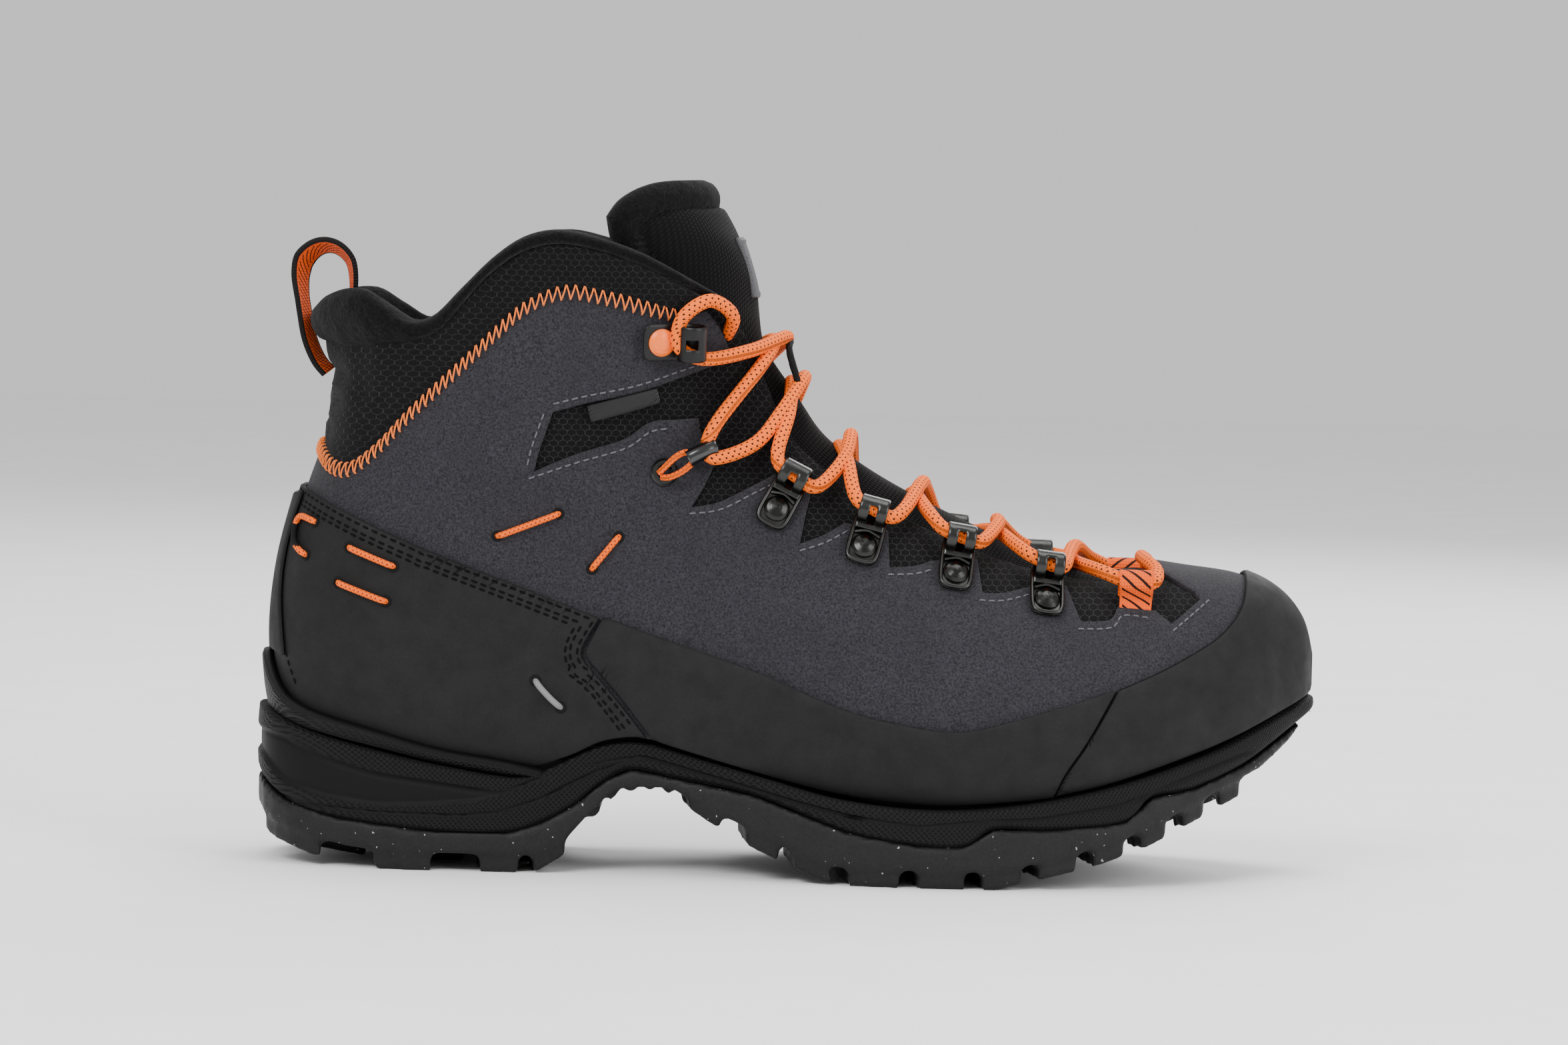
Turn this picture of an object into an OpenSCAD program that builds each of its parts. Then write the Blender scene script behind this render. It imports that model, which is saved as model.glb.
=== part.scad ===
// Mid-height winter hiking boot for the right foot, laced up and standing on its sole.
// +X points to the toe, +Z points up, and the outer side of the foot is at -Y.
// Panels of the upper are drawn as outlines in the side view and wrapped onto one
// foot shape. Every length is for a 305 mm sole and follows sole_length.

/* [Size] */
// Length of the sole from heel to toe
sole_length = 305; // [260:1:330]

/* [Sole] */
// Depth of the tread lugs
tread_depth = 5; // [3:0.5:6]
// Thickness of the board that the upper is lasted to
board_thickness = 2; // [1.5:0.1:2.2]
// Thickness of the loose footbed
footbed_thickness = 4; // [3:0.5:5]

/* [Upper] */
// Thickness of the suede
suede_thickness = 1.6; // [1.2:0.1:1.6]
// Thickness of the rubber rand and of the heel panels
rand_thickness = 1.7; // [1.2:0.1:1.9]
// Thickness of the padded lining
lining_thickness = 3.2; // [2:0.1:3.2]
// Thickness of the padded collar
collar_thickness = 8.5; // [6:0.5:8.5]
// Thickness of the tongue
tongue_thickness = 4.4; // [3:0.2:5]

/* [Lacing] */
// Diameter of the round lace
lace_d = 4; // [3:0.1:4]
// Thickness of the hook plates
plate_t = 1; // [0.8:0.1:1.2]
// Diameter of the cable in the loops and the heel
cable_d = 1.8; // [1.4:0.1:2]

/* [Hidden] */

outer = -1;
inner = 1;
drawn_length = 305;
// Middle of the boot's bounding box, which the origin stands under.
middle_x = 152.5;
middle_y = -1.3;
// Space left between the layers of the upper.
gap = 0.3;

// ---- Foot shape ----
// Each row is one section through the outer face of the suede. It runs from a point
// on the ridge over the instep to a point on the bottom or the back of the heel.
// ridge x, ridge z, base x, base z, width outside, width inside, centre y,
// share of the height at which it is widest, roundness above, roundness below
SECTIONS = [
    [303, 64, 303, 44, 0, 0, 9, 0.6, 2.3, 3],
    [300, 74, 300, 42, 10.5, 9, 8.8, 0.6, 2.3, 3],
    [293, 82, 293.5, 38, 20, 17, 8, 0.6, 2.3, 3.2],
    [282, 87, 283, 34, 32, 28, 7, 0.62, 2.3, 3.6],
    [265, 89.5, 266, 28, 41.5, 38.5, 5, 0.66, 2.1, 4],
    [245, 92.5, 246, 22, 49.5, 45.5, 3, 0.68, 1.9, 4],
    [225, 97, 224, 18, 53, 48.5, 1.5, 0.7, 1.75, 4],
    [207, 104.5, 200, 15, 53, 46, 0.5, 0.7, 1.7, 4],
    [191, 112, 175, 16, 50, 42, 0, 0.7, 1.7, 4],
    [178, 119, 148, 19, 45.5, 39, 0, 0.7, 1.75, 4],
    [167, 127, 120, 21, 42, 37, 0, 0.7, 1.8, 4],
    [160, 135, 90, 22, 39, 36.5, 0, 0.7, 1.9, 4],
    [156, 142, 58, 24, 37, 37, 0, 0.7, 2, 4],
    [153, 148, 30, 27, 36, 36, 0, 0.72, 2.1, 3.8],
    [151, 153, 11, 39, 36, 36, 0, 0.72, 2.2, 3],
    [150, 158, 6, 60, 37, 37, 0, 0.7, 2.2, 2.5],
    [149, 163, 7, 82, 38, 38, 0, 0.65, 2.3, 2.4],
    [148, 169, 12, 104, 38.5, 38.5, 0, 0.6, 2.3, 2.3],
    [146, 176, 19, 126, 38, 38, 0, 0.55, 2.3, 2.3],
    [143, 184, 20, 142, 38.5, 38.5, 0, 0.52, 2.3, 2.3],
    [138, 192, 14, 158, 40, 40, 0, 0.5, 2.3, 2.3],
    [131, 202, 18, 178, 41, 41, 0, 0.5, 2.3, 2.3]
];
last_section = len(SECTIONS) - 1;

// A smooth curve through evenly counted points; i may be a number or a whole row.
function at(list, i) = list[max(0, min(len(list) - 1, i))];
function cubic(a, b, c, d, f) =
    b + 0.5 * f * (c - a + f * (2 * a - 5 * b + 4 * c - d + f * (3 * (b - c) + d - a)));
function along(list, t) =
    let (i = max(0, min(len(list) - 2, floor(t))))
    cubic(at(list, i - 1), at(list, i), at(list, i + 1), at(list, i + 2), t - i);
function curve(list, f) = along(list, f * (len(list) - 1));
function smooth(list, n) = [for (i = [0:n]) curve(list, i / n)];

// A point of the foot shape on section t, at angle a down from the ridge.
function foot_point(t, a, side) =
    let (
        q = along(SECTIONS, max(0, min(last_section, t))),
        c = cos(a),
        n = c > 0 ? q[8] : q[9],
        s = c > 0 ? q[7] * (1 - pow(c, 2 / n)) : q[7] + (1 - q[7]) * pow(-c, 2 / n),
        w = (side < 0 ? q[4] : q[5]) * sign(sin(a)) * pow(abs(sin(a)), 2 / n)
    )
    [q[0] + (q[2] - q[0]) * s, q[6] + side * w, q[1] + (q[3] - q[1]) * s];

function foot_normal(t, a, side) =
    let (
        dt = foot_point(t + 0.05, a, side) - foot_point(t - 0.05, a, side),
        da = foot_point(t, a + 1, side) - foot_point(t, a - 1, side),
        n = -side * cross(dt, da)
    )
    n / norm(n);

// The section whose line passes through a point of the side view.
function which_section(p, low, high, steps) =
    let (
        mid = (low + high) / 2,
        q = along(SECTIONS, mid),
        beyond = (q[2] - q[0]) * (p[1] - q[1]) - (q[3] - q[1]) * (p[0] - q[0]) > 0
    )
    steps == 0 ? mid :
    beyond ? which_section(p, low, mid, steps - 1) : which_section(p, mid, high, steps - 1);

function angle_on(t, p) =
    let (
        q = along(SECTIONS, t),
        line = [q[2] - q[0], q[3] - q[1]],
        share = ([p[0] - q[0], p[1] - q[1]] * line) / (line * line),
        s = max(0, min(1, share)),
        low = s > q[7],
        u = low ? (s - q[7]) / (1 - q[7]) : 1 - s / q[7],
        a = acos(pow(u, (low ? q[9] : q[8]) / 2))
    )
    low ? 180 - a : a;

// Where a point [x, z] of the side view lies on the foot shape, as [section, angle].
function foot_place(p) =
    let (t = which_section(p, 0, last_section, 14)) [t, angle_on(t, p)];

// That point in space, lifted off the suede's outer face.
function skin(p, side, lift = 0) =
    let (q = foot_place(p))
    foot_point(q[0], q[1], side) + lift * foot_normal(q[0], q[1], side);

// ---- Side-view lines ----
// Places along the outline of the foot shape, counted in sections.
at_sole = 14.3;
at_seam = 17.68;
at_panel_top = 17.12;
at_rim = 20;
at_toe_cap = 2.9;
at_throat_end = 3.65;
// Heel to toe, as [x, z].
GROUND = [[-4, 13], [6, 7], [18, 3], [30, 1], [38, 0], [82, 0], [90, 5], [97, 14],
          [104, 22], [112, 24], [120, 23], [131, 16], [142, 10], [153, 5], [163, 1],
          [170, 0], [212, 0], [229, 4], [241, 7], [255, 12], [265, 17], [277, 23],
          [288, 28], [297, 35], [309, 48]];
SOLE_LINE = [[-4, 27], [10, 18], [25, 14], [54, 11], [73, 11], [83, 14], [92, 19],
             [102, 27], [109, 30], [121, 28], [144, 24], [170, 15], [189, 12], [203, 12],
             [211, 17], [227, 17], [248, 19], [256, 26], [268, 28], [283, 34], [296, 42],
             [309, 50]];
RIM_LINE = [[-4, 46], [14, 39], [34, 34], [53, 30], [76, 27], [88, 31], [98, 36],
            [107, 38], [116, 37], [131, 33], [147, 29], [169, 24], [195, 22], [220, 24],
            [245, 29], [271, 37], [289, 45], [309, 54]];
CRADLE_TOP = [[6, 60], [10.5, 51], [17, 46], [34, 41], [53, 36], [73, 33], [84, 31]];
CRADLE_LOW = [[9.6, 44.5], [12, 43], [18, 41], [34, 37], [53, 33], [70, 30.5], [82, 29.5]];
// Underside of the board that the foot stands over.
FLOOR = [[-4, 33], [30, 33], [60, 32.5], [90, 32], [110, 31.5], [121, 30.5], [150, 26.5],
         [180, 20.5], [205, 18.5], [225, 19.5], [245, 23], [257, 27.5], [269, 30.5],
         [285, 36], [309, 55]];
// Lower edge of the upper, just above the sole.
LASTED_EDGE = [[8, 46], [14, 40.5], [34, 35.5], [53, 32], [76, 30], [90, 33.5], [100, 38],
               [108, 39.5], [118, 38], [131, 34.5], [147, 30.5], [169, 26], [195, 24],
               [220, 26], [245, 31], [271, 39.5], [289, 47], [303, 53]];
// Stitched border between the suede and the collar, back to front.
COLLAR_SEAM = [[17, 119], [21, 114], [27, 113], [35, 119], [44, 129], [56, 141],
               [68, 153], [77, 161], [87, 165], [97, 164], [110, 161], [121, 159]];
// Rolled upper rim of the collar, back to front.
COLLAR_RIM = [[14, 158], [19, 163], [28, 164], [36, 159], [43, 155], [50, 157],
              [58, 165], [67, 174], [76, 180], [86, 182], [97, 180], [109, 176],
              [119, 171], [130, 165]];
// Edge of the opening for the tongue, top to toe.
FACING = [[121, 158], [129, 146], [137, 134], [141, 119], [150, 107], [164, 100],
          [180, 93.5], [196, 90], [214, 85.5], [232, 82.5], [250, 81], [262, 82],
          [268, 85], [271, 89]];
MESH_EDGE = [[131, 163], [138, 155], [143, 146], [147, 136], [153, 125], [163, 116],
             [177, 107], [192, 100.5], [207, 94.5], [222, 90], [240, 87], [254, 86.5]];
// Upper edge of the rubber rand and of the heel panel.
RAND_TOP = [[101, 73], [118, 67], [143, 59], [169, 49], [188, 45], [201, 44], [213, 46.5],
            [232, 52], [245, 56]];
TOE_CAP_TOP = [[245, 56], [257, 61], [267, 66], [275, 71], [281, 78], [283.5, 86.6]];
HEEL_TOP = [[13, 107], [28, 100], [52, 90], [76, 81], [98, 73]];
// The outline of the foot shape itself: up the back of the heel, and along the ridge.
function back_edge(t0, t1) = [for (i = [0:8])
    let (q = along(SECTIONS, t0 + (t1 - t0) * i / 8)) [q[2], q[3]]];
function ridge_edge(t0, t1) = [for (i = [0:8])
    let (q = along(SECTIONS, t0 + (t1 - t0) * i / 8)) [q[0], q[1]]];

// ---- Helper shapes ----
module place() {
    k = sole_length / drawn_length;
    scale([k, k, k]) translate([-middle_x, -middle_y, 0]) children();
}

// A closed skin over a grid of points: rows of the outer face, then of the inner one.
// In a ring, the last row is followed by the first.
module sheet(outer_rows, inner_rows, ring = false) {
    rows = len(outer_rows);
    cols = len(outer_rows[0]);
    block = rows * cols;
    points = [for (face = [outer_rows, inner_rows]) for (row = face) for (p = row) p];
    quads = [
        for (i = [0:rows - (ring ? 1 : 2)]) for (j = [0:cols - 2])
            let (a = i * cols + j, b = ((i + 1) % rows) * cols + j)
                [a, a + 1, b + 1, b]
    ];
    start_edge = [for (j = [0:cols - 2]) [j, j + 1]];
    end_edge = [for (j = [0:cols - 2]) [(rows - 1) * cols + j + 1, (rows - 1) * cols + j]];
    long_edges = [
        for (i = [0:rows - (ring ? 1 : 2)])
            let (a = i * cols, b = ((i + 1) % rows) * cols)
                for (e = [[b, a], [a + cols - 1, b + cols - 1]]) e
    ];
    rim = ring ? long_edges : concat(long_edges, start_edge, end_edge);
    faces = concat(
        [for (q = quads) for (f = [[q[0], q[1], q[2]], [q[0], q[2], q[3]]]) f],
        [for (q = quads) for (f = [[q[2], q[1], q[0]], [q[3], q[2], q[0]]])
            [for (k = f) k + block]],
        [for (e = rim)
            for (f = [[e[1], e[0], e[0] + block], [e[1], e[0] + block, e[1] + block]]) f]
    );
    polyhedron(points = points, faces = faces);
}

// Spreads 0 to 1 so that steps grow shorter towards the front, the back or both ends.
function eased(f, ease) =
    ease == "front" ? 1 - pow(1 - f, 2) :
    ease == "back" ? pow(f, 2) :
    ease == "both" ? (1 - cos(180 * f)) / 2 : f;

// A four-sided region of the side view between a top, a bottom, a back and a front line.
function region(top, bottom, back, front, u, v) =
    let (
        t = curve(top, u),
        b = curve(bottom, u),
        l = curve(back, v),
        r = curve(front, v),
        corners = (1 - u) * ((1 - v) * bottom[0] + v * top[0])
            + u * ((1 - v) * bottom[len(bottom) - 1] + v * top[len(top) - 1])
    )
    (1 - v) * b + v * t + (1 - u) * l + u * r - corners;

// The places on the foot shape of a grid of points over that region.
function region_grid(top, bottom, back, front, cols, rows, ease_u, ease_v) =
    [for (i = [0:cols]) [for (j = [0:rows])
        foot_place(region(top, bottom, back, front, eased(i / cols, ease_u),
                          eased(j / rows, ease_v)))]];

function lifted(q, side, lift) =
    foot_point(q[0], q[1], side) + lift * foot_normal(q[0], q[1], side);
function lifted_grid(grid, side, lift) = [for (line = grid) [for (q = line) lifted(q, side, lift)]];
function on_middle(line, lift) =
    [for (q = line) (lifted(q, outer, lift) + lifted(q, inner, lift)) / 2];

// A panel of the upper: that region wrapped onto one side of the foot shape.
module panel(top, bottom, back, front, side, low, high, cols, rows, ease_u = "", ease_v = "") {
    grid = region_grid(top, bottom, back, front, cols, rows, ease_u, ease_v);
    face_low = lifted_grid(grid, side, low);
    face_high = lifted_grid(grid, side, high);
    if (side < 0) sheet(face_high, face_low);
    else sheet(face_low, face_high);
}

// Both sides' grids as one run of rows, which meet where the region ends on the foot
// shape's outline: at its front line, its back line, or both, which makes a ring.
function joined_rows(grid, meets, lift) =
    let (
        cols = len(grid) - 1,
        out = lifted_grid(grid, outer, lift),
        in = lifted_grid(grid, inner, lift),
        first = on_middle(grid[0], lift),
        last = on_middle(grid[cols], lift)
    )
    meets == "back" ?
        concat([for (i = [cols:-1:1]) out[i]], [first], [for (i = [1:cols]) in[i]]) :
    meets == "front" ?
        concat([for (i = [0:cols - 1]) out[i]], [last], [for (i = [cols - 1:-1:0]) in[i]]) :
        concat([first], [for (i = [1:cols - 1]) out[i]], [last],
               [for (i = [cols - 1:-1:1]) in[i]]);

// A panel that wraps round both sides of the foot shape in one piece.
module wrapped(top, bottom, back, front, meets, low, high, cols, rows, ease_u = "",
               ease_v = "") {
    grid = region_grid(top, bottom, back, front, cols, rows, ease_u, ease_v);
    face_low = joined_rows(grid, meets, low);
    face_high = joined_rows(grid, meets, high);
    if (meets == "back") sheet(face_low, face_high);
    else sheet(face_high, face_low, meets == "ring");
}

// Places children at a point of the side view: X up the instep, Z out of the suede.
module on_skin(p, side, lift, turn = 0) {
    q = foot_place(p);
    n = foot_normal(q[0], q[1], side);
    rise = foot_point(q[0], q[1] - 1, side) - foot_point(q[0], q[1] + 1, side);
    up = rise / norm(rise);
    across = cross(n, up);
    c = foot_point(q[0], q[1], side) + lift * n;
    multmatrix([
        [up[0], across[0], n[0], c[0]],
        [up[1], across[1], n[1], c[1]],
        [up[2], across[2], n[2], c[2]],
        [0, 0, 0, 1]
    ]) rotate([0, 0, side * turn]) children();
}

// A tube of eight sides along points, for a cord or a cable.
module cord_tube(points, d) {
    sides = 8;
    count = len(points);
    heading = [for (i = [0:count - 1])
        let (h = points[min(i + 1, count - 1)] - points[max(i - 1, 0)]) h / norm(h)];
    rings = [for (i = [0:count - 1])
        let (
            h = heading[i],
            ref = abs(h[1]) < 0.8 ? [0, 1, 0] : [0, 0, 1],
            a = cross(h, ref) / norm(cross(h, ref)),
            b = cross(h, a)
        )
        for (k = [0:sides - 1])
            points[i] + d / 2 * (cos(360 * k / sides) * a + sin(360 * k / sides) * b)];
    faces = concat(
        [[for (k = [0:sides - 1]) k]],
        [for (i = [0:count - 2]) for (k = [0:sides - 1])
            let (m = (k + 1) % sides)
            for (f = [[i * sides + m, i * sides + k, (i + 1) * sides + k],
                      [i * sides + m, (i + 1) * sides + k, (i + 1) * sides + m]]) f],
        [[for (k = [sides - 1:-1:0]) (count - 1) * sides + k]]
    );
    polyhedron(points = rings, faces = faces);
}

// The outline of a strip of even thickness along a side-view path.
function strip(path, t) =
    let (
        count = len(path) - 1,
        dir = [for (i = [0:count])
            let (h = path[min(i + 1, count)] - path[max(i - 1, 0)]) h / norm(h)]
    )
    concat([for (i = [0:count]) path[i] + t / 2 * [-dir[i][1], dir[i][0]]],
           [for (i = [count:-1:0]) path[i] - t / 2 * [-dir[i][1], dir[i][0]]]);

// ---- Sole ----
OUTER_PLAN = [[0, 0], [3, -17], [10, -27], [22, -34], [40, -38], [60, -39], [85, -38.5],
              [110, -39.5], [135, -44], [160, -51], [185, -55.5], [205, -56], [225, -54],
              [245, -49], [262, -41], [277, -31], [290, -18.5], [299, -6], [303.5, 2],
              [305, 9]];
INNER_PLAN = [[305, 9], [304, 15], [298, 24], [288, 34], [274, 42.5], [258, 49],
              [240, 53], [225, 53.5], [205, 51], [185, 46], [160, 39], [135, 34],
              [110, 33], [85, 34.5], [60, 37], [40, 38], [22, 34], [10, 27], [3, 17], [0, 0]];

// The sole seen from above, drawn in from its edge by an even inset.
module sole_plan(inset, height) {
    half = 48;
    edge = concat(smooth(OUTER_PLAN, 36), smooth(INNER_PLAN, 36));
    linear_extrude(height = height) polygon([for (p = edge)
        [inset + p[0] * (1 - 2 * inset / drawn_length), p[1] * (1 - inset / half)]]);
}

// Everything between two side-view lines, across the whole width.
module between(lower, upper) {
    count = len(upper) - 1;
    rotate([90, 0, 0]) linear_extrude(height = 140, center = true)
        polygon(concat(lower, [for (i = [count:-1:0]) upper[i]]));
}

function raised(list, h) = [for (p = list) [p[0], p[1] + h]];

// The tread is shallow in the arch and full depth under the heel and the ball.
arch_x = 112;
function tread_at(x) = tread_depth * min(1, 0.25 + abs(x - arch_x) / 40);
TREAD_TOP = [for (p = GROUND) [p[0], p[1] + tread_at(p[0])]];
LUG_ROOT = [for (p = GROUND) [p[0], p[1] + tread_at(p[0]) + 1]];

// Lug rows as [start, end], then rows of the middle blocks.
EDGE_LUGS = [[1, 24], [39, 55], [69, 80], [84, 93], [128, 137], [144, 153], [157, 167],
             [172, 186], [191, 204], [209, 220], [225, 236], [241, 250], [255, 263],
             [268, 275], [280, 287]];
MIDDLE_LUGS = [[8, 28], [44, 56], [64, 76], [150, 161], [166, 180], [186, 199],
               [205, 217], [223, 234], [239, 249], [254, 263], [268, 277]];
lug_lean = 5;
edge_lug_width = 20;
middle_lug_width = 11;
arch_bars = [98, 103, 108, 113, 118, 123];

module lug(x0, x1, y0, y1, lean) {
    linear_extrude(height = 60)
        polygon([[x0, y0], [x1, y0], [x1 + lean, y1], [x0 + lean, y1]]);
}

module tread() {
    intersection() {
        sole_plan(1, 60);
        between(GROUND, LUG_ROOT);
        union() {
            for (row = EDGE_LUGS) for (s = [-1, 1]) {
                reach = row[0] < 100 ? 14 : 24;
                lug(row[0], row[1], s * 60, s * reach, -lug_lean);
            }
            for (row = MIDDLE_LUGS) for (s = [-1, 1]) {
                lug(row[0], row[1], s * 1.5, s * middle_lug_width, lug_lean);
            }
            for (x = arch_bars) lug(x, x + 2, -34, 34, 0);
        }
    }
}

module outsole() place() color("#242424") union() {
    intersection() {
        sole_plan(0, 70);
        between(TREAD_TOP, SOLE_LINE);
    }
    tread();
}

module midsole() place() color("#2c2c2c") difference() {
    intersection() {
        sole_plan(0, 70);
        between(SOLE_LINE, RIM_LINE);
    }
    intersection() {
        sole_plan(5, 70);
        between(FLOOR, raised(FLOOR, 40));
    }
}

module heel_cradle() place() color("#303030")
    wrapped(CRADLE_TOP, CRADLE_LOW, back_edge(14.22, 15), [[82, 29.5], [83, 30.2], [84, 31]],
            "back", 2.4, 5.4, 12, 2, "back");

// A plate that follows the floor of the foot space between two heights above it.
module floor_plate(inset, low, high, x0, x1, half_width) {
    intersection() {
        sole_plan(inset, 70);
        between(raised(FLOOR, low), raised(FLOOR, high));
        translate([x0, -half_width, 0]) cube([x1 - x0, 2 * half_width, 70]);
    }
}

shank_t = 1.2;
board_low = 0.1 + shank_t + gap;
footbed_low = board_low + board_thickness + gap;
module shank() place() color("#808080") floor_plate(9, 0.1, 0.1 + shank_t, 50, 195, 13);
module insole_board() place() color("#b09060")
    floor_plate(12, board_low, board_low + board_thickness, 0, drawn_length, 60);
module footbed() place() color("#4a4a50")
    floor_plate(15, footbed_low, footbed_low + footbed_thickness, 0, drawn_length, 60);

// ---- Upper ----
function part_of(list, x0, x1) = [for (p = list) if (p[0] >= x0 && p[0] <= x1) p];
TOE_LINE = concat([[303, 53]], ridge_edge(0, at_toe_cap));
SUEDE_TOP = concat(part_of(COLLAR_SEAM, 0, 112), FACING);
SUEDE_TOE = concat([[303, 53]], ridge_edge(0, at_throat_end));
LINING_TOP = [[17, 115], [21, 110], [28, 109], [36, 115], [46, 125], [58, 137], [70, 149],
              [79, 157], [88, 160.5], [98, 160], [110, 156.5], [120, 153], [133, 149],
              [140, 141], [144, 131], [151, 120], [161, 111], [175, 102.5], [190, 96],
              [206, 90.5], [222, 86.5], [240, 83.5], [256, 84], [263, 89.7]];
LINING_TOE = concat([[303, 53]], ridge_edge(0, 4.1));

module suede_upper() place() color("#46444e")
    wrapped(SUEDE_TOP, LASTED_EDGE, back_edge(at_sole, at_seam), SUEDE_TOE, "ring",
            -suede_thickness, 0, 26, 8, "both");

lining_low = -3.4 - lining_thickness;
module lining(side) place() color("#1c1c1e")
    panel(LINING_TOP, LASTED_EDGE, back_edge(at_sole, at_seam - 0.17), LINING_TOE, side,
          lining_low, -3.4, 24, 6, "both");
module lining_outer() lining(outer);
module lining_inner() lining(inner);

cap_seam = [[228, 27], [231, 33], [237, 42], [245, 56]];
module toe_rand() place() color("#242524")
    wrapped(TOE_CAP_TOP, part_of(concat([[228, 27]], LASTED_EDGE), 228, 303), cap_seam,
            TOE_LINE, "front", gap, gap + rand_thickness, 12, 6, "front");

heel_front = [[113, 39.5], [101, 49], [89, 61.5], [98, 73]];
module rand(side) place() color("#262726")
    panel(RAND_TOP, concat([[114.5, 39.5]], part_of(LASTED_EDGE, 118, 221), [[227.5, 27]]),
          [[114.5, 39.5], [102.5, 49.5], [91, 61.5], [101, 73]],
          [[227.5, 27], [230.5, 33], [236.5, 42], [244.5, 56]],
          side, gap, gap + rand_thickness, 16, 4);
module rand_outer() rand(outer);
module rand_inner() rand(inner);

module heel_overlay(side) place() color("#202122")
    panel(HEEL_TOP, concat(part_of(LASTED_EDGE, 0, 110), [[113, 39.5]]),
          back_edge(at_sole, at_panel_top), heel_front,
          side, gap, gap + rand_thickness, 14, 5, "back");
module heel_overlay_outer() heel_overlay(outer);
module heel_overlay_inner() heel_overlay(inner);

strip_low = 2 * gap + rand_thickness;
module back_strip() place() color("#18191a")
    wrapped([[12, 104], [15, 105]], [[6, 64], [11, 62]], back_edge(15.15, 17),
            [[11, 62], [9.5, 76], [10.8, 90], [15, 105]],
            "back", strip_low, strip_low + 1, 3, 6, "back");

module heel_counter() place() color("#c8c0b0")
    wrapped([[9, 92], [30, 88], [60, 72], [84, 50]], [[9, 46], [34, 37.5], [60, 34], [84, 34]],
            back_edge(at_sole, 16.45), [[84, 34], [84, 42], [84, 50]],
            "back", -3.1, -1.9, 8, 4, "back");

module toe_puff() place() color("#c8c0b0")
    wrapped([[258, 62], [268, 70], [278, 80], [283, 87]], [[258, 36], [280, 44], [303, 53]],
            [[258, 36], [258, 48], [258, 62]], TOE_LINE,
            "front", -3.1, -1.9, 8, 4, "front");

UNDERLAY_LOW = [[82, 110], [100, 110], [120, 99], [141, 91], [165, 84], [190, 77], [215, 73],
                [246, 70]];
module mesh_underlay(side) place() color("#101011")
    panel(MESH_EDGE, UNDERLAY_LOW, [[82, 110], [84, 134], [105, 147], [131, 163]],
          [[246, 70], [251, 78], [254, 86.5]], side, -3.1, -1.9, 16, 4);
module mesh_underlay_outer() mesh_underlay(outer);
module mesh_underlay_inner() mesh_underlay(inner);

module collar() place() color("#141415")
    wrapped(COLLAR_RIM, concat(raised(COLLAR_SEAM, 1), [[127, 161]]),
            back_edge(at_seam + 0.04, at_rim),
            [[127, 161], [128.5, 163], [130, 165]],
            "back", 1.5 - collar_thickness, 1.5, 18, 5, "back");

module side_label() place() color("#2e2e30")
    panel([[95, 137], [105, 139], [117, 141]], [[94, 131], [105, 133], [118, 135]],
          [[94, 131], [95, 137]], [[118, 135], [117, 141]], outer, gap, gap + 0.6, 4, 1);

// ---- Tongue ----
tongue_high = -8;
tongue_low = tongue_high - tongue_thickness;
TONGUE_EDGE = [[128, 152], [131, 140], [134, 126], [143, 110], [158, 99], [178, 90],
               [200, 83], [222, 78], [246, 78]];
module tongue() place() color("#161617")
    wrapped([[128, 152], [139, 155], [150.1, 157]], [[246, 78], [253, 86], [257, 90.6]],
            [for (i = [len(TONGUE_EDGE) - 1:-1:0]) TONGUE_EDGE[i]], ridge_edge(4.4, 14.8),
            "front", tongue_low, tongue_high, 6, 18, "front");

module tongue_top() place() color("#161617")
    wrapped([[101, 186], [108, 194], [118, 199.5], [131, 202]],
            [[112, 160], [130, 158], [149.8, 159]],
            [[112, 160], [104, 172], [101, 186]],
            ridge_edge(15.2, 21),
            "front", tongue_low - 0.6, tongue_high - 0.6, 10, 6, "front");

module tongue_label() place() color("#77787a")
    wrapped([[141, 184], [143, 184]], [[146.5, 163], [149, 163]],
            [[146.5, 163], [145, 173], [141, 184]], ridge_edge(16, 19),
            "front", tongue_high - 0.3, tongue_high + 0.6, 4, 4, "front");

keeper_width = 15;
keeper_height = 7;
module lace_keeper() place() color("#0c0c0c")
    on_skin([155.5, 143], outer, tongue_high + 0.3)
        translate([-2.5, 0, 0]) rotate([90, 0, 90]) linear_extrude(height = 5)
            difference() {
                translate([-keeper_width / 2, 0]) square([keeper_width, keeper_height]);
                translate([1 - keeper_width / 2, -1]) square([keeper_width - 2, keeper_height]);
            }

// ---- Pull loop ----
loop_width = 11;
loop_t = 1.4;
ANCHOR_PATH = [[18, 139.5], [15, 143], [12.3, 149], [10.8, 156], [9.6, 163.5]];
LOOP_PATH = [[9.5, 168], [10.5, 172], [13.5, 175], [17, 176], [20.5, 175], [23.5, 172],
             [24.5, 168]];
module webbing(path) {
    rotate([90, 0, 0]) linear_extrude(height = loop_width, center = true)
        polygon(strip(smooth(path, 10), loop_t));
}
module pull_loop_anchor() place() color("#f07a3c") webbing(ANCHOR_PATH);
module pull_loop() place() color("#f07a3c") webbing(LOOP_PATH);

// ---- Lacing hardware ----
HOOK_PLACES = [[148, 104], [173, 94], [199, 87], [225, 80]];
hook_lift = 0.4;
rivet_r = 2;
channel_r = 3.1;
channel_wall = 0.9;
channel_x = 10.5;
channel_z = 4.2;

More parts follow.
